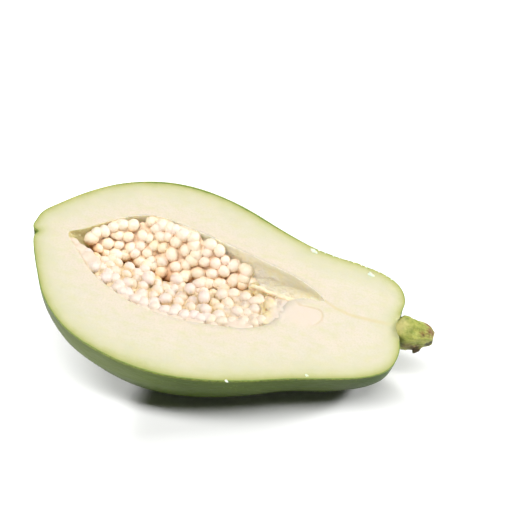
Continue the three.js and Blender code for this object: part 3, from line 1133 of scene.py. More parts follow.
@dataclass
class FruitBody:
    """The half fruit in one mesh: the cut flesh, the skin and the wall of the cavity."""

    axes: FruitAxes
    rim_crease: float = 1.0
    wall_crease: float = 0.75
    sharp_degrees: float = 40.0
    flat: float = 0.02  # how far from the face's plane counts as on it, in millimetres
    lobes: int = 5
    valley_degrees: float = 110.0
    unevenness: float = 0.45  # of the skin, in millimetres
    jag: float = 0.5  # of the torn stretch of rim, in millimetres
    jagged_stretch: Span = (150.0, 196.0)
    cavity_middle: float = 3.1  # between the cavity's two tips
    wall_bumps: float = 0.3  # in millimetres
    vein_line: Line = ((158.3, 3.5), (164.9, 0.6), (173.5, -1.4), (184.5, -1.2), (198.0, -0.4))
    groove_line: Line = (
        (139.0, -4.6), (142.0, -3.6), (146.5, -3.3), (151.9, -3.0), (156.0, -2.9), (158.4, -4.0),
        (159.4, -6.3), (159.2, -8.9), (157.9, -11.3), (155.6, -13.4), (152.5, -14.9),
    )  # round the flat tongue at the cavity's end
    groove_depth: float = 0.3
    groove_width: float = 0.8
    lines_from: float = 130.0  # both lines lie past this place along x
    finest: float = 0.7  # the longest edges by the two lines, in millimetres
    fine_within: float = 2.0  # how far from the lines such edges begin
    seeds_end: Span = (112.0, 132.0)  # of the far and near seeds, along x
    piece: bpy.types.Object = field(init=False)

    def build(self, frame: dict) -> bpy.types.Object:
        """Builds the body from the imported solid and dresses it.


        Returns:
            The piece.
        """
        self.piece = copy_of_node(frame, "fruit_half", "flesh_and_skin")
        self.sort_faces()
        self.crease_rims()
        round_off(self.piece)
        mesh = self.piece.data
        faces, skins, walls = map(self.corners_of, Region)
        rim = {index: mesh.vertices[index].normal.copy() for index in skins & faces}
        swell(mesh, self.axes, self.skin_wave, skins - faces)
        self.tear_rim(rim)
        swell(mesh, self.axes, self.wall_bump, walls - faces)
        split_edges(self.piece, self.needs_split, rounds=5)
        self.carve_groove()
        self.dress()
        return finish_piece(self.piece, "fruit", "fruit_half", sharp_degrees=self.sharp_degrees)

    def on_face(self, face: bpy.types.MeshPolygon) -> bool:
        """Whether a face of the mesh lies on the cut face."""
        corners = (self.piece.data.vertices[index].co for index in face.vertices)
        return all(abs(self.axes.local(corner).z) < self.flat for corner in corners)

    def sort_faces(self) -> None:
        """Gives each face the slot of the surface that it belongs to."""
        mesh = self.piece.data
        for finish in (FleshFinish(), SkinFinish(), WallFinish()):
            mesh.materials.append(finish.material())
        lowest = min(mesh.polygons, key=lambda face: face.center.z).index
        select(self.piece, "polygons", self.on_face)
        flat = [face.select for face in mesh.polygons]
        with editing(self.piece):
            bpy.ops.mesh.hide(unselected=False)
            bpy.ops.mesh.select_all(action="DESELECT")
        select(self.piece, "polygons", lambda face: face.index == lowest)
        with editing(self.piece):
            bpy.ops.mesh.select_linked(delimit=set())
        skin = [face.select for face in mesh.polygons]
        with editing(self.piece):
            bpy.ops.mesh.reveal(select=False)
        for face, is_flat, is_skin in zip(mesh.polygons, flat, skin):
            region = Region.FACE if is_flat else Region.SKIN if is_skin else Region.WALL
            face.material_index = region.value

    def crease_rims(self) -> None:
        """Keeps the two rims of the cut face crisp when the mesh is smoothed."""
        kinds: dict[tuple[int, int], set[int]] = {}
        for face in self.piece.data.polygons:
            for key in face.edge_keys:
                kinds.setdefault(key, set()).add(face.material_index)
        for other, crease in ((Region.SKIN, self.rim_crease), (Region.WALL, self.wall_crease)):
            pair = {Region.FACE.value, other.value}
            rim = {key for key, found in kinds.items() if found == pair}
            select(self.piece, "edges", lambda edge, rim=rim: edge.key in rim)
            with editing(self.piece, "EDGE"):
                bpy.ops.transform.edge_crease(value=crease)

    def skin_wave(self, point: Vector) -> float:
        """How far the skin rises in its slight unevenness, away from the rim and the floor.

        Args:
            point: A point of the skin.

        Returns:
            The rise in millimetres.
        """
        away = smoothly(-point.z, 0.0, 12.0) * smoothly(self.axes.height(point), 0.5, 6.0)
        wave = noise.noise(Vector((point.x * 0.035, point.y * 0.07, point.z * 0.07)))
        small = noise.noise(Vector((point.x * 0.16, point.y * 0.22, point.z * 0.22)))
        return self.unevenness * (wave + 0.3 * small) * away

    def tear_rim(self, rim: dict[int, Vector]) -> None:
        """Gives a stretch of the far rim its torn edge.

        Args:
            rim: The vertices of the cut face's outer rim and their normals.
        """
        outward = self.axes.outward
        low, high = self.jagged_stretch
        for index, normal in rim.items():
            vertex = self.piece.data.vertices[index]
            point = self.axes.local(vertex.co)
            torn = smoothly(point.x, low, low + 8) * (1 - smoothly(point.x, high - 6, high))
            if point.y > 0 and torn > 0:
                flat = (normal - outward * normal.dot(outward)).normalized()
                bite = noise.noise(Vector((point.x * 0.9, point.y * 0.9, 3.0)))
                vertex.co += flat * bite * self.jag * torn * MM

    def wall_bump(self, point: Vector) -> float:
        """How far the cavity's wall rises in its small soft bumps."""
        height = noise.noise(point * 0.45) + 0.6 * noise.noise(point * 1.1)
        return height * self.wall_bumps * smoothly(-point.z, 0.3, 2.5)

    def needs_split(self, edge: bpy.types.MeshEdge) -> bool:
        """Whether an edge of the cut face is too long for the fine line beside it.

        Args:
            edge: The edge.

        Returns:
            Whether it is.
        """
        first, second = (self.piece.data.vertices[index].co for index in edge.vertices)
        long = (first - second).length / MM
        if long < self.finest:
            return False
        a, b = self.axes.local(first), self.axes.local(second)
        if max(abs(a.z), abs(b.z)) > self.flat or max(a.x, b.x) < self.lines_from:
            return False
        lines = (self.vein_line, self.groove_line)
        reach = self.fine_within + long / 2
        return any(beside(line, (a + b) / 2)[0] < reach for line in lines)

    def carve_groove(self) -> None:
        """Sinks the shallow groove round the tongue into the cut face."""
        mesh = self.piece.data
        for index in self.corners_of(Region.FACE) - self.corners_of(Region.WALL):
            vertex = mesh.vertices[index]
            sunk = self.groove_depth * self.groove(self.axes.local(vertex.co))
            vertex.co -= self.axes.outward * sunk * MM

    def groove(self, point: Vector) -> float:
        """How far a point lies in the groove, which fades at both ends.

        Args:
            point: A point of the cut face.

        Returns:
            1 in the groove's middle and 0 beside it.
        """
        if point.x < self.lines_from:
            return 0.0
        distance, along = beside(self.groove_line, point)
        ends = smoothly(along, 0.0, 0.15) * (1 - smoothly(along, 0.75, 1.0))
        return ends * (1 - smoothly(distance, 0.1, self.groove_width))

    def vein(self, point: Vector) -> float:
        """How strong the vein is that runs from the cavity to the stem.

        Args:
            point: A point of the cut face.

        Returns:
            The vein's strength there.
        """
        if point.x < self.lines_from:
            return 0.0
        distance, along = beside(self.vein_line, point)
        return 0.6 * (1 - smoothly(distance, 0.2, 1.3 + 0.8 * along)) * smoothly(1 - along, 0, 0.2)

    def corners_of(self, region: Region) -> set[int]:
        """The vertices that faces of a region use."""
        faces = (f for f in self.piece.data.polygons if f.material_index == region.value)
        return {index for face in faces for index in face.vertices}

    def dress(self) -> None:
        """Stores how far each point is from skin and seeds, and where lines and ends run."""
        mesh = self.piece.data
        points = mark_places(
            mesh,
            self.axes,
            wall_depth=lambda point: max(0.0, -point.z),
            lip=lambda point: 1 - smoothly(-point.z, 0.2, 1.6),
            # painted shade, strongest where the skin is nearest the floor
            under=lambda point: 1 - smoothly(self.axes.height(point), 4, 34),
            stem_end=lambda point: smoothly(point.x, 176, 202),
            tip=lambda point: 1 - smoothly(point.x, 30, 40),
            # where the near wall gets its painted shade
            near=lambda point: (1 - smoothly(point.y, -4, 1)) * smoothly(point.x, 22, 34),
            groove=lambda point: 0.45 * self.groove(point),
            vein=self.vein,
            crest=self.crest,
            seeded=self.seeded,
        )
        faces, skins, walls = map(self.corners_of, Region)
        outer, inner = (search_tree([points[i] for i in rim & faces]) for rim in (skins, walls))
        flat = [Vector((p.x, p.y, 0)) for p in points]
        store(mesh, "seed_depth", [inner.find(p)[2] for p in flat])
        skin_depth = [
            max(outer.find(p)[2], self.at_stem(p)) if i in faces else 0.0
            for i, p in enumerate(flat)
        ]
        store(mesh, "skin_depth", skin_depth)

    def rim_line(self, region: Region, side: Side) -> Line:
        """A rim of the cut face on one side, from the blossom end to the stem.

        Args:
            region: What the rim divides the face from.
            side: The side of the face.

        Returns:
            The rim's points, (x, y) in millimetres.
        """
        rim = self.corners_of(region) & self.corners_of(Region.FACE)
        points = (self.axes.local(self.piece.data.vertices[index].co) for index in rim)
        middle = self.cavity_middle if region is Region.WALL else 0.0
        return sorted((p.x, p.y) for p in points if side.value * (p.y - middle) > 0)

    def crest(self, point: Vector) -> float:
        """How near a point is to the crest of a lobe, from 0 in a valley to 1."""
        angle = math.atan2(-point.z, point.y)
        return 0.5 - 0.5 * math.cos(self.lobes * (angle - math.radians(self.valley_degrees)))

    def at_stem(self, point: Vector) -> float:
        """The least depth under the skin that the flesh's colour shows where the stem joins."""
        return 1.6 * smoothly(point.x, 190, 196) * (1 - smoothly(abs(point.y + 1.0), 6, 9))

    def seeded(self, point: Vector) -> float:
        """How far a point of the cavity's wall lies under seeds, for its painted brown shade."""
        end = self.seeds_end[0 if point.y > 2 else 1]
        along = smoothly(point.x, 24, 32) * (1 - smoothly(point.x, end - 8, end + 4))
        return smoothly(-point.z, 6.0, 12.0) * along


@dataclass(frozen=True)
class Seed:
    """One seed's middle, in the fruit's axes, and its radius, both in millimetres."""

    middle: Vector
    radius: float

    @property
    def top(self) -> float:
        """How high it reaches above the cut face."""
        return self.middle.z + self.radius


@dataclass
class SeedBunch:
    """The seeds on one wall of the cavity, held by pulp, with deeper ones between them."""

    axes: FruitAxes
    side: Side
    node: str
    finish: SeedFinish
    draw: int
    rim: Line  # the cavity's rim on this side, (x, y)
    pulp_sunk: float  # how far the pulp draws back, in millimetres
    loose: tuple[Ring, ...]  # seeds that lie alone, (x, y, z, radius)
    collar: Span  # the stretch of rim along x that pulp lines
    collar_top: float  # how high it reaches, in millimetres, before it is smoothed
    collar_gaps: tuple[float, ...]  # where along x it is broken
    painted_shade_least: float  # how strong the painted warm shade in shallow gaps is at the least
    painted_shade_depth: Span  # where the painted warm shade rises, from where to where below the seeds' tops
    painted_brown_rim: float  # how brown the painted shade in the gaps is at the rim, as a share of that in the valley
    membranes: tuple[Lump, ...] = ()  # of pulp
    yellow_from: float = FAR_AWAY  # the place along x from which the seeds are yellower
    sunk_from: float = FAR_AWAY  # the place along x from which the pulp rises round the seeds
    sunk_by: float = 1.1  # how far seeds sink there at most, in millimetres
    risen_by: float = 0.35  # how far the pulp rises there
    swelling: float = 1.08  # of the seeds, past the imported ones
    under_drop: float = 1.5  # how deep the next seeds lie, in radii
    under_spread: float = 0.8  # how far they are off to the side, in radii
    wall_room: float = 0.7  # the least room to the wall for a deeper seed, in radii
    under_from: float = 36.0  # the place along x from which there are deeper seeds
    under_size: float = 0.95  # of deeper seeds, as a share of the ones on top
    sunk_sizes: Span = (0.9, 1.12)  # of the seeds that sink, as shares
    lengths: Span = (1.0, 1.22)  # of the seeds, as shares of their radii
    widths: Span = (0.95, 1.02)
    lean: float = 0.7  # how far the seeds lean at most, in radians
    collar_steps: Span = (1.6, 3.0)  # between the lumps of the collar
    collar_sizes: Span = (1.5, 2.4)  # of those lumps
    collar_gap: float = 2.6  # half the width of each gap
    painted_brown_depth: Span = (5.0, 9.5)  # where the painted brown shade rises, from where to where below the seeds' tops
    least: float = 2.4 * MM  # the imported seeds' least and greatest radius
    most: float = 3.9 * MM
    pulp_voxel: float = 0.8
    pulp_rounds: int = 6
    valley: Line = (
        (10, 1.5), (36, 0.5), (48, 3.0), (62, 1.5), (76, -1.5), (87, 1.0), (97, 0.0), (110, 4.0),
        (124, 4.5), (160, 4.0),
    )  # the line between the two bunches, (x, y)
    seeds: list[Seed] = field(init=False)
    piece: bpy.types.Object = field(init=False)

    def build(self, frame: dict, model: bpy.types.Object, wall: BVHTree) -> bpy.types.Object:
        """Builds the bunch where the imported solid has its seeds.

        Args:
            model: The one modelled seed, of radius 1.
            wall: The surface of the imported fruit.

        Returns:
            The piece.
        """
        rand = random.Random(self.draw)
        tops = self.packed_seeds(frame) + [Seed(Vector(at), radius) for *at, radius in self.loose]
        self.seeds = [self.sunken(seed, rand) for seed in tops]
        LOG.info("%s has %d seeds on top", self.node, len(self.seeds))
        bed = self.pulp_bed(frame)
        parts = [self.copy(model, seed, rand) for seed in self.seeds]
        for seed in self.seeds:
            for depth in (1, 2):
                lower = self.under(seed, depth, rand)
                if self.has_room(lower, wall):
                    parts.append(self.copy(model, lower, rand))
        bed = join("pulp", [bed, *lumps_of("membrane", self.axes, self.all_membranes(rand))])
        melt(bed, self.pulp_voxel, self.pulp_rounds)
        store(bed.data, "pulp", [1.0] * len(bed.data.vertices))
        self.piece = join("seeds_" + self.side.name.lower(), [*parts, bed])
        self.dress(rand)
        self.piece.data.materials.append(self.finish.material())
        return finish_piece(self.piece, "seeds", self.node)

    def packed_seeds(self, frame: dict) -> list[Seed]:
        """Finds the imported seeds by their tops, each a peak of the solid's mesh.


        Returns:
            The seeds.
        """
        copy = copy_of_node(frame, self.node, "seed_places", quads=False)
        mesh, outward = copy.data, self.axes.outward
        joined: dict[int, set[int]] = {}
        for edge in mesh.edges:
            a, b = edge.vertices
            joined.setdefault(a, set()).add(b)
            joined.setdefault(b, set()).add(a)
        found = []
        for index, others in joined.items():
            top = mesh.vertices[index].co
            steps = [top - mesh.vertices[other].co for other in others]
            drops = [step.dot(outward) for step in steps]
            if min(drops) <= 0:
                continue
            radius = max(step.length**2 / (2 * drop) for step, drop in zip(steps, drops))
            if radius <= 1.25 * self.most:
                radius = min(self.most, max(self.least, radius))
                found.append(Seed(self.axes.local(top - outward * radius), radius / MM))
        bpy.data.objects.remove(copy)
        return found

    def pulp_bed(self, frame: dict) -> bpy.types.Object:
        """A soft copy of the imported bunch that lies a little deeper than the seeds.


        Returns:
            The bed.
        """
        bed = copy_of_node(frame, self.node, "pulp_bed")
        melt(bed, self.pulp_voxel, self.pulp_rounds)
        modify(bed, "DISPLACE", mid_level=0.0, strength=-self.pulp_sunk * MM)
        swell(bed.data, self.axes, self.rise)
        return bed

    def rise(self, point: Vector) -> float:
        """How far the pulp rises round the seeds at a point."""
        share = smoothly(point.x, self.sunk_from, self.sunk_from + 8)
        return self.risen_by * share * (1 + noise.noise(point * 0.12))

    def sunken(self, seed: Seed, rand: random.Random) -> Seed:
        """A seed where it has sunk into the pulp, which it does past sunk_from.

        Args:
            seed: The seed.
            rand: The stream of random numbers.

        Returns:
            The seed at its final place, or the same one.
        """
        if seed.middle.x < self.sunk_from:
            return seed
        down = Vector((0, 0, rand.uniform(0, self.sunk_by)))
        return Seed(seed.middle - down, seed.radius * rand.uniform(*self.sunk_sizes))

    def all_membranes(self, rand: random.Random) -> list[Lump]:
        """The lumps of pulp between the seeds and the rim, with those of the collar.

        Args:
            rand: The stream of random numbers.

        Returns:
            The lumps.
        """
        lumps = list(self.membranes)
        x, end = self.collar
        while x < end:
            x += rand.uniform(*self.collar_steps)
            if any(abs(x - gap) < self.collar_gap for gap in self.collar_gaps):
                continue
            reach = rand.uniform(*self.collar_sizes)
            y = height_of(self.rim, x) - self.side.value * rand.uniform(0.6, 1.6)
            z = self.collar_top - reach - rand.uniform(0.0, 0.35)
            lumps.append((x, y, z, 1.5 * reach, reach, reach))
        return lumps

    def under(self, seed: Seed, depth: int, rand: random.Random) -> Seed:
        """A deeper seed below one of the top ones.

        Args:
            seed: The seed on top.
            depth: How many seeds deep, from 1.
            rand: The stream of random numbers.

        Returns:
            The deeper seed.
        """
        turn = rand.uniform(0, 2 * math.pi)
        step = Vector((math.cos(turn), math.sin(turn), 0)) * self.under_spread
        step.z = -self.under_drop * depth
        return Seed(seed.middle + step * seed.radius, seed.radius * self.under_size)

    def has_room(self, seed: Seed, wall: BVHTree) -> bool:
        """Whether a deeper seed fits inside the cavity.

        Args:
            seed: The seed.
            wall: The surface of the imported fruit.

        Returns:
            Whether it fits.
        """
        if seed.middle.x < self.under_from:
            return False
        place = self.axes.place(seed.middle)
        nearest, normal, _, distance = wall.find_nearest(place)
        room = self.wall_room * seed.radius * MM
        return (place - nearest).dot(normal) > 0 and distance > room

    def copy(self, model: bpy.types.Object, seed: Seed, rand: random.Random) -> bpy.types.Object:
        """A copy of the modelled seed, turned and stretched a little.

        Args:
            model: The modelled seed.
            seed: Where the copy goes and its size.
            rand: The stream of random numbers.

        Returns:
            The copy, with its place in its mesh.
        """
        mesh = model.data.copy()
        radius = seed.radius * self.swelling * MM
        long, thin = rand.uniform(*self.lengths), rand.uniform(*self.widths)
        lean = Matrix.Rotation(rand.uniform(-self.lean, self.lean), 3, "X")
        turn = Matrix.Rotation(rand.uniform(0, 2 * math.pi), 3, "Z")
        size = Matrix.Diagonal((long * radius, thin * radius, thin * radius))
        shape = (self.axes.turn @ turn @ lean @ size).to_4x4()
        shape.translation = self.axes.place(seed.middle)
        mesh.transform(shape)
        item = bpy.data.objects.new("seed", mesh)
        bpy.context.scene.collection.objects.link(item)
        return item

    def dress(self, rand: random.Random) -> None:
        """Stores how low and how deep each point lies below the seeds round it, for the painted
        shade between them, and a tint a seed.

        Args:
            rand: The stream of random numbers.
        """
        mesh = self.piece.data
        points = mark_places(mesh, self.axes)
        tree = search_tree([seed.middle for seed in self.seeds])
        tints = [rand.random() for _ in self.seeds]
        low, deep, tint = [], [], []
        for point in points:
            near = tree.find_n(Vector((point.x, point.y, 0)), 3)
            depth = max(self.seeds[number].top for _, number, _ in near) - point.z
            # painted warm shade in the gaps below the seeds' tops, and painted brown shade deeper
            brown = self.painted_brownness(point)
            low.append(max(brown, self.painted_shade_least) * smoothly(depth, *self.painted_shade_depth))
            deep.append(brown * smoothly(depth, *self.painted_brown_depth))
            yellow = smoothly(point.x, self.yellow_from, self.yellow_from + 8)
            tint.append(tints[near[0][1]] * (1 - 0.8 * yellow))
        for name, values in (("low", low), ("deep", deep), ("tint", tint)):
            store(mesh, name, values)

    def painted_brownness(self, point: Vector) -> float:
        """How brown the painted shade in the gaps is round a point.

        Args:
            point: The point.

        Returns:
            1 in the valley, and less towards the rim.
        """
        rim, valley = height_of(self.rim, point.x), height_of(self.valley, point.x)
        share = smoothly((point.y - valley) / (rim - valley), 0.08, 0.5)
        return 1.0 - (1.0 - self.painted_brown_rim) * share


def model_seed(
    tip_from: float = 0.82, tip_width: float = 0.72, tip_length: float = 0.07
) -> bpy.types.Object:
    """Models the seed that all others are copies of, of radius 1 with one slightly pointed end.

    Args:
        tip_from: Where along x that end begins.
        tip_width: How wide it is left.
        tip_length: How far it is drawn out.

    Returns:
        The seed, at the origin.
    """
    pick()
    bpy.ops.mesh.primitive_ico_sphere_add(subdivisions=2, radius=1.0)
    seed = bpy.context.active_object
    seed.name = "seed_model"
    select(seed, "vertices", lambda vertex: vertex.co.x > tip_from)
    with editing(seed, "VERT"):
        bpy.ops.transform.resize(value=(1.0, tip_width, tip_width), center_override=(1.0, 0, 0))
        bpy.ops.transform.translate(value=(tip_length, 0, 0))
    return seed


@dataclass
class Stem:
    """The stub of the stem: a short thick stalk with ribs, scars and a broken tip."""

    axes: FruitAxes
    sides: int = 20
    rings: tuple[Ring, ...] = (
        (196.5, -0.6, -5.4, 4.0),
        (199.6, -0.6, -5.4, 6.2),
        (201.4, 0.4, -5.3, 9.2),
        (203.8, 0.2, -5.1, 9.4),
        (207.0, 0.1, -4.9, 8.6),
        (211.0, 0.2, -4.4, 7.6),
        (214.5, 0.9, -3.7, 6.5),
        (217.4, 0.6, -3.2, 5.1),
        (219.5, -0.2, -3.2, 3.8),
    )  # (x, y, z, radius)
    ribs: int = 5
    rib_height: float = 0.05  # share of the radius
    dimple: float = 0.9  # of the broken tip, in millimetres
    scars: tuple[Ring, ...] = ((213.0, -3.2, 2.0, 0.9), (206.0, 6.2, -11.2, 1.2))  # with heights
    nub: Point = (212.8, -7.4, -7.4)
    nub_steps: Line = ((1.0, 1.25), (1.1, 0.85), (0.6, 0.6))  # (height, growth)
    marks: tuple[tuple[Mark, Point, float], ...] = (
        (Mark.BASE, (198.5, -1.0, 2.5), 8.0),
        (Mark.MOSS, (203.4, 3.2, 2.9), 1.9),
        (Mark.MOSS, (202.6, 7.6, -1.0), 3.2),
        (Mark.MOSS, (208.0, 4.5, 2.0), 1.4),
        (Mark.CREASE, (202.4, -7.6, -0.8), 3.4),
        (Mark.CREASE, (203.6, -9.0, -3.8), 3.4),
        (Mark.CREASE, (201.0, 0.0, -14.0), 5.0),
        (Mark.DULL, (207.5, -8.4, -4.6), 4.6),
        (Mark.DULL, (211.0, -7.4, -5.4), 4.2),
        (Mark.DULL, (209.0, -6.0, -11.0), 5.0),
        (Mark.RING, (212.8, -2.8, 2.1), 2.6),
        (Mark.SCAR, (213.4, -3.3, 1.9), 1.3),
        (Mark.SCAR, (212.6, -8.4, -7.2), 6.2),
        (Mark.SCAR, (206.0, 7.2, -12.2), 2.4),
        (Mark.BROWN, (215.6, 4.0, 0.0), 4.2),
        (Mark.BROWN, (216.6, 0.2, 1.0), 4.4),
        (Mark.BROWN, (219.2, 1.2, -2.6), 5.0),
        (Mark.SOOT, (220.0, -1.8, -2.2), 3.2),
        (Mark.SOOT, (218.2, -3.2, -2.0), 2.6),
        (Mark.SOOT, (217.2, -4.4, -3.4), 2.6),
        (Mark.SOOT, (216.6, -2.0, -8.0), 3.0),
        (Mark.DOT, (211.2, -7.9, -4.4), 1.2),
    )  # what, where and how far, in millimetres
    piece: bpy.types.Object = field(init=False)

    def build(self) -> bpy.types.Object:
        """Models the stem ring by ring and dresses it.

        Returns:
            The piece.
        """
        self.piece = draw_out("stem_stub", self.axes, self.rings, self.sides, self.dimple)
        self.rib()
        for *place, height in self.scars:
            self.raise_scar(Vector(place), height)
        self.raise_nub()
        round_off(self.piece)
        swell(self.piece.data, self.axes, self.bump)
        points = mark_places(self.piece.data, self.axes)
        for mark in Mark:
            places = [(Vector(place), reach) for kind, place, reach in self.marks if kind is mark]
            strengths = [self.strength(point, places) for point in points]
            store(self.piece.data, mark.name.lower(), strengths)
        self.piece.data.materials.append(StemFinish().material())
        return finish_piece(self.piece, "stem", "stem")

    def rib(self) -> None:
        """Raises the soft ribs along the stem."""
        for vertex in self.piece.data.vertices:
            point = self.axes.local(vertex.co)
            _, y, z, radius = self.ring_at(point.x)
            angle = math.atan2(point.z - z, point.y - y)
            if math.hypot(point.z - z, point.y - y) > 0.6 * radius:
                grow = self.rib_height * math.cos(self.ribs * angle)
                point += Vector((0, point.y - y, point.z - z)) * grow
            vertex.co = self.axes.place(point)

    def ring_at(self, x: float) -> Ring:
        """The ring of the stem that is nearest to a place along it."""
        return min(self.rings, key=lambda ring: abs(ring[0] - x))

    def outward(self, point: Vector) -> Vector:
        """The direction straight out of the stem at a point."""
        middle = Vector((point.x, *self.ring_at(point.x)[1:3]))
        return (self.axes.place(point) - self.axes.place(middle)).normalized()

    def raise_scar(self, point: Vector, height: float) -> None:
        """Pulls out a knob where a flower fell off and sinks its middle.

        Args:
            point: Where it is.
            height: How high it is, in millimetres.
        """
        select_nearest_face(self.piece, self.axes.place(point))
        with editing(self.piece):
            bpy.ops.mesh.select_more()
            bpy.ops.transform.translate(value=tuple(self.outward(point) * height * MM))
            bpy.ops.mesh.inset(thickness=0.7 * MM, depth=0.5 * MM)
            bpy.ops.mesh.inset(thickness=0.6 * MM, depth=-0.7 * MM)

    def raise_nub(self) -> None:
        """Pulls out the blunt nub on the underside."""
        out = self.outward(Vector(self.nub)) * MM
        middle = select_nearest_face(self.piece, self.axes.place(self.nub))
        with editing(self.piece):
            bpy.ops.mesh.select_more()
            bpy.ops.transform.translate(value=tuple(out * 0.5))
            bpy.ops.mesh.select_less()
            for step, growth in self.nub_steps:
                middle += out * step
                push_out(out * step, middle, growth)

    def bump(self, point: Vector) -> float:
        """How high the stalk is raised at a point."""
        height = noise.noise(point * 0.35) * 0.45 + noise.noise(point * 0.9) * 0.2
        return height * smoothly(point.x, 198, 203)

    def strength(self, point: Vector, places: Sequence[tuple[Vector, float]]) -> float:
        """How strong marks are at a point.

        Args:
            point: The point.
            places: The marks' middles and how far they reach.

        Returns:
            The strength of the nearest one, with an uneven edge.
        """
        uneven = noise.noise(point * 0.9) * 0.3
        shares = (
            1 - smoothly((point - place).length / reach + uneven, 0.25, 1.0)
            for place, reach in places
        )
        return 0.9 * max(shares)


@dataclass
class CavityEnd:
    """The pulp at the stem end of the cavity: soft lumps and the strand that runs above them."""

    axes: FruitAxes
    lumps: tuple[Lump, ...] = (
        (134.0, -6.5, -5.2, 5.5, 6.0, 3.0),
        (138.0, -9.5, -3.2, 5.5, 6.5, 2.6),
        (134.5, -14.5, -2.8, 5.5, 4.0, 2.6),
        (137.5, -2.5, -4.6, 5.5, 3.2, 2.6),
        (129.0, -9.0, -6.6, 4.0, 5.0, 2.6),
        (144.0, -3.2, -2.3, 5.5, 2.6, 1.9),
        (138.4, -4.6, -2.4, 3.4, 3.2, 2.4),
        (137.6, -9.0, -2.2, 3.6, 3.6, 2.4),
        (135.8, -13.6, -2.2, 3.6, 3.6, 2.4),
        (131.0, -18.5, -1.9, 5.5, 2.2, 1.8),
        (131.2, -6.4, -3.2, 3.6, 3.6, 2.6),
        (134.0, -10.4, -2.7, 3.6, 4.0, 2.5),
        (131.0, -14.8, -2.7, 3.6, 3.6, 2.4),
        (150.5, -1.6, -1.6, 5.0, 1.6, 1.3),
        (116.6, 13.6, -12.6, 2.6, 4.0, 3.0),
        (120.5, 6.6, -11.2, 3.2, 3.6, 3.0),
        (124.8, 3.2, -10.0, 4.0, 2.6, 2.6),
    )
    strand: tuple[Ring, ...] = (
        (118.0, 5.6, -9.0, 0.6),
        (120.5, 5.4, -8.0, 1.2),
        (125.0, 4.2, -7.0, 1.4),
        (129.5, 2.9, -6.2, 1.3),
        (134.5, 1.2, -4.8, 1.4),
        (139.5, 0.1, -3.3, 1.3),
        (145.0, -0.6, -2.0, 1.2),
        (150.5, -0.8, -1.3, 0.9),
        (155.0, -0.9, -1.0, 0.6),
        (157.5, -0.6, -0.9, 0.4),
    )
    voxel: float = 0.55
    rounds: int = 5
    piece: bpy.types.Object = field(init=False)

    def build(self) -> bpy.types.Object:
        """Models the lumps and the strand, and melts them together.

        Returns:
            The piece.
        """
        strand = draw_out("strand", self.axes, self.strand, sides=12)
        lumps = lumps_of("lump", self.axes, self.lumps, rings=16)
        self.piece = join("cavity_end_pulp", [strand, *lumps])
        melt(self.piece, self.voxel, self.rounds)
        mesh = self.piece.data
        swell(mesh, self.axes, self.bump)
        looks = {"tongue": self.on_tongue, "strand": self.on_strand, "line": self.edge}
        mark_places(mesh, self.axes, **looks)
        mesh.materials.append(PulpFinish().material())
        return finish_piece(self.piece, "seeds")

    def bump(self, point: Vector) -> float:
        """How high the pulp is raised at a point."""
        height = noise.noise(point * 0.3) * 0.6 + noise.noise(point * 0.8) * 0.3
        return height * (1 - 0.7 * self.on_tongue(point))

    def on_tongue(self, point: Vector) -> float:
        """How far a point belongs to the flat end of the tongue."""
        return smoothly(point.x, 129.0, 136.0) * (1 - self.on_strand(point))

    def from_strand(self, point: Vector) -> float:
        """How far a point is from the middle of the strand, along y."""
        return abs(point.y - height_of([ring[:2] for ring in self.strand], point.x))

    def on_strand(self, point: Vector) -> float:
        """How far a point belongs to the strand."""
        return 1 - smoothly(self.from_strand(point), 1.4, 2.4)

    def edge(self, point: Vector) -> float:
        """How far a point belongs to the fine lines of painted shadow above and below the strand."""
        away = abs(self.from_strand(point) - 1.9)
        return 0.8 * (1 - smoothly(away, 0.2, 1.0)) * (1 - smoothly(point.x, 150, 158))


@dataclass
class LatexDrops:
    """White drops and smears of latex on the rim of the cut."""

    axes: FruitAxes
    rim: Line  # the far outer edge of the cut face, (x, y)
    drops: tuple[tuple[float, float, float, float, float], ...] = (
        (146.9, 32.6, 2.4, 1.0, 0.32),
        (180.0, 27.2, 2.0, 1.2, 0.36),
        (158.4, -43.4, 1.0, 0.7, 0.3),
        (119.4, -58.4, 1.1, 0.7, 0.3),
    )  # (x, y, length, width, height)
    beads: Line = (
        (149.6, 0.6), (153.2, 0.4), (158.0, 0.5), (161.5, 0.35), (166.5, 0.6), (169.5, 0.4),
        (174.0, 0.5), (176.5, 0.7), (184.0, 0.5), (188.5, 0.4), (191.5, 0.55),
    )  # (x, half length) of the small ones on the far edge
    lean: float = -0.35  # how they turn from the fruit's length, in radians
    waviness: float = 0.7  # of their outlines, as a share of their size

    def build(self) -> bpy.types.Object:
        """Models the drops.

        Returns:
            The piece.
        """
        small = [
            (x, height_of(self.rim, x) - 0.3, long, 0.7 * long, 0.4 * long)
            for x, long in self.beads
        ]
        made = [self.drop(number, *drop) for number, drop in enumerate((*self.drops, *small))]
        piece = join("latex_drops", made)
        mark_places(piece.data, self.axes)
        piece.data.materials.append(LatexFinish().material())
        return finish_piece(piece, "fruit")

    def drop(
        self, number: int, x: float, y: float, length: float, width: float, height: float
    ) -> bpy.types.Object:
        """Models one drop with a wavy outline.

        Args:
            number: Its number, which sets its outline.
            x: Where it is along the fruit, in millimetres.
            y: Where it is across the fruit.
            length: Its half length.
            width: Its half width.
            height: Its height.

        Returns:
            The drop.
        """
        size = Matrix.Diagonal((length * MM, width * MM, height * MM))
        shape = self.axes.turn @ Matrix.Rotation(self.lean, 3, "Z") @ size
        drop = ball("drop", self.axes.place((x, y, -0.12 * height)), shape)
        for vertex in drop.data.vertices:
            point = self.axes.local(vertex.co)
            wobble = noise.noise(Vector((point.x * 0.8, point.y * 0.8, number)))
            middle = self.axes.place((x, y, point.z))
            vertex.co = middle + (vertex.co - middle) * (1 + self.waviness * wobble)
        return drop


# ---- the studio ----------------------------------------------------------------------------------


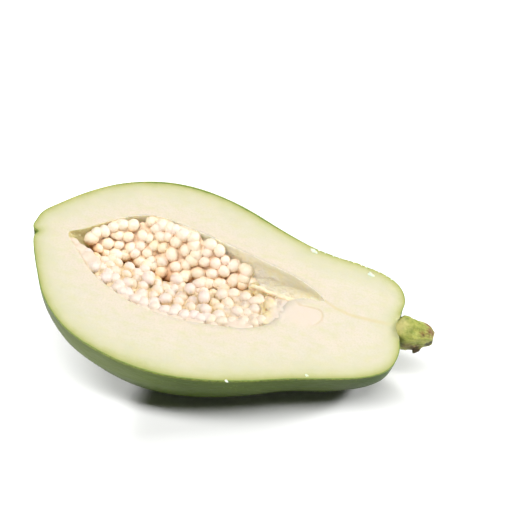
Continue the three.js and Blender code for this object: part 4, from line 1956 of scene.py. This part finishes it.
@dataclass(frozen=True)
class Lamp:
    """A soft area light that looks at the fruit.

    Attributes:
        name: Its name.
        place: Where it hangs, in metres.
        size: Its width and depth, in metres.
        power: Its power in watts.
    """

    name: str
    place: Point
    size: tuple[float, float]
    power: float

    def hang(self, aim: Vector) -> None:
        """Adds the light, turned to what it looks at.

        Args:
            aim: What it looks at.
        """
        bpy.ops.object.light_add(type="AREA", location=self.place)
        lamp = bpy.context.active_object
        lamp.name = self.name
        lamp.data.shape = "RECTANGLE"
        lamp.data.size, lamp.data.size_y = self.size
        lamp.data.energy = self.power
        lamp.rotation_euler = (aim - Vector(self.place)).to_track_quat("-Z", "Y").to_euler()


@dataclass(frozen=True)
class Studio:
    """White floor, soft light and the camera."""

    camera_place: Point = (0.093982, -0.503276, 0.436170)
    azimuth: float = 9.1729
    elevation: float = 35.2258
    roll: float = 0.2535
    focal: float = 85.0
    sensor: float = 36.0
    aim: Point = (0.0, 0.0, 0.04)
    floor_size: float = 6.0
    floor_white: float = 0.93
    sky: float = 0.0  # how bright the empty space is for the scene
    backdrop: float = 1.0  # how bright it looks past the floor
    lamps: tuple[Lamp, ...] = (
        Lamp("key_softbox", (-0.1, -0.61, 1.82), (2.4, 0.39), 44.0),
        Lamp("left_softbox", (-0.8, 1.25, 0.48), (0.4, 0.3), 27.0),
        Lamp("right_softbox", (1.3, 0.5, 0.7), (0.4, 0.3), 18.0),
        Lamp("front_strip", (-0.3, -1.55, 0.11), (0.9, 0.08), 4.2),
    )

    def build(self) -> None:
        """Builds the camera, the floor, the sky and the lamps."""
        self.set_camera()
        self.lay_floor()
        self.light_sky()
        for lamp in self.lamps:
            lamp.hang(Vector(self.aim))
        bpy.context.scene.view_settings.view_transform = "Standard"

    def light_sky(self) -> None:
        """Makes the empty space white to the camera and dark to everything else."""
        world = bpy.context.scene.world or bpy.data.worlds.new("studio")
        bpy.context.scene.world = world
        world.use_nodes = True
        tree = world.node_tree
        background = tree.nodes["Background"]
        background.inputs["Color"].default_value = (1.0, 1.0, 1.0, 1.0)
        path = tree.nodes.new("ShaderNodeLightPath")
        level = tree.nodes.new("ShaderNodeMapRange")
        level.inputs["To Min"].default_value = self.sky
        level.inputs["To Max"].default_value = self.backdrop
        tree.links.new(path.outputs["Is Camera Ray"], level.inputs["Value"])
        tree.links.new(level.outputs["Result"], background.inputs["Strength"])

    def set_camera(self) -> None:
        """Adds the camera at its place and makes it the scene's own."""
        a, e = math.radians(self.azimuth), math.radians(self.elevation)
        back = Vector((math.sin(a) * math.cos(e), -math.cos(a) * math.cos(e), math.sin(e)))
        level = Vector((math.cos(a), math.sin(a), 0))
        rolled = math.radians(self.roll)
        right = level * math.cos(rolled) + back.cross(level) * math.sin(rolled)
        bpy.ops.object.camera_add(location=self.camera_place)
        camera = bpy.context.active_object
        camera.name = "camera"
        turn = Matrix((right, back.cross(right), back)).transposed()
        camera.rotation_euler = turn.to_euler()
        camera.data.lens, camera.data.sensor_width = self.focal, self.sensor
        camera.data.clip_start, camera.data.clip_end = 0.02, 20
        bpy.context.scene.camera = camera

    def lay_floor(self) -> None:
        """Adds the white floor."""
        bpy.ops.mesh.primitive_plane_add(size=self.floor_size)
        floor = bpy.context.active_object
        floor.name = "floor"
        material = bpy.data.materials.new("white_floor")
        material.use_nodes = True
        shader = material.node_tree.nodes["Principled BSDF"]
        shader.inputs["Base Color"].default_value = (*(self.floor_white,) * 3, 1.0)
        shader.inputs["Roughness"].default_value = 0.6
        floor.data.materials.append(material)


def corners(box: tuple[Vector, Vector]) -> list[list[float]]:
    """A box's two corners as plain lists."""
    return [list(corner) for corner in box]


def build_seeds(frame: dict, body: FruitBody) -> None:
    """Builds the bunches of seeds on the two walls of the cavity.

    Args:
        body: The fruit's body, which gives the rims of the cavity.
    """
    fruit = frame["nodes"]["fruit_half"].data
    wall = BVHTree.FromPolygons(
        [vertex.co for vertex in fruit.vertices], [face.vertices[:] for face in fruit.polygons]
    )
    far = SeedBunch(
        body.axes,
        Side.FAR,
        "seeds_far_wall",
        FAR_SEEDS,
        draw=3,
        rim=body.rim_line(Region.WALL, Side.FAR),
        pulp_sunk=1.3,
        loose=(
            (118.5, 10.0, -12.4, 3.1),
            (44.0, 4.2, -11.6, 3.0),
            (61.0, 3.6, -12.6, 3.1),
            (82.0, 3.0, -13.4, 3.2),
            (93.0, 3.4, -13.6, 3.0),
        ),
        collar=(36.0, 80.0),
        collar_top=-0.5,
        collar_gaps=(45.0, 52.2, 60.2, 70.0),
        painted_shade_least=0.4,
        painted_shade_depth=(1.6, 4.8),
        painted_brown_rim=0.35,
    )
    near = SeedBunch(
        body.axes,
        Side.NEAR,
        "seeds_near_wall",
        NEAR_SEEDS_PAINTED_DARKER,
        draw=5,
        rim=body.rim_line(Region.WALL, Side.NEAR),
        pulp_sunk=0.3,
        loose=(
            (42.0, -0.4, -10.8, 3.0),
            (60.5, 0.4, -12.4, 3.0),
            (79.0, -0.6, -12.6, 3.2),
            (91.0, 0.6, -12.6, 3.1),
            (104.5, 2.6, -13.8, 3.2),
            (55.5, -15.0, -4.9, 3.3),
            (64.4, -7.9, -7.2, 3.3),
            (76.8, -18.6, -4.7, 3.2),
            (87.6, -7.8, -6.4, 3.2),
            (96.1, -10.9, -5.8, 3.4),
            (98.7, -18.8, -4.5, 3.3),
            (104.7, -5.6, -7.4, 3.4),
            (115.3, -15.0, -4.4, 3.5),
            (117.2, -3.4, -7.4, 3.3),
            (123.0, -5.0, -6.9, 3.2),
        ),
        membranes=(
            (20.5, 0.0, -1.6, 3.6, 1.8, 1.5),
            (25.5, -3.6, -2.0, 4.5, 3.2, 1.9),
            (30.5, -7.2, -2.2, 4.5, 4.6, 2.1),
            (35.0, -10.5, -2.4, 4.5, 5.0, 2.2),
        ),
        collar=(38.0, 121.0),
        collar_top=-0.35,
        collar_gaps=(44.0, 51.5, 62.0, 71.0, 81.5, 90.0, 101.0, 109.5),
        painted_shade_least=0.75,
        painted_shade_depth=(1.2, 4.2),
        painted_brown_rim=0.1,
        yellow_from=96.0,
        sunk_from=110.0,
    )
    seed = model_seed()
    for bunch in (far, near):
        bunch.build(frame, seed, wall)
    bpy.data.objects.remove(seed)


def main() -> None:
    """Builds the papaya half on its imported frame."""
    logging.basicConfig(level=logging.INFO, format="%(name)s: %(message)s")
    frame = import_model()
    axes = FruitAxes.from_record(frame["record"])
    Studio().build()
    body = FruitBody(axes)
    body.build(frame)
    build_seeds(frame, body)
    CavityEnd(axes).build()
    Stem(axes).build()
    LatexDrops(axes, body.rim_line(Region.SKIN, Side.FAR)).build()


if __name__ == "__main__":
    main()
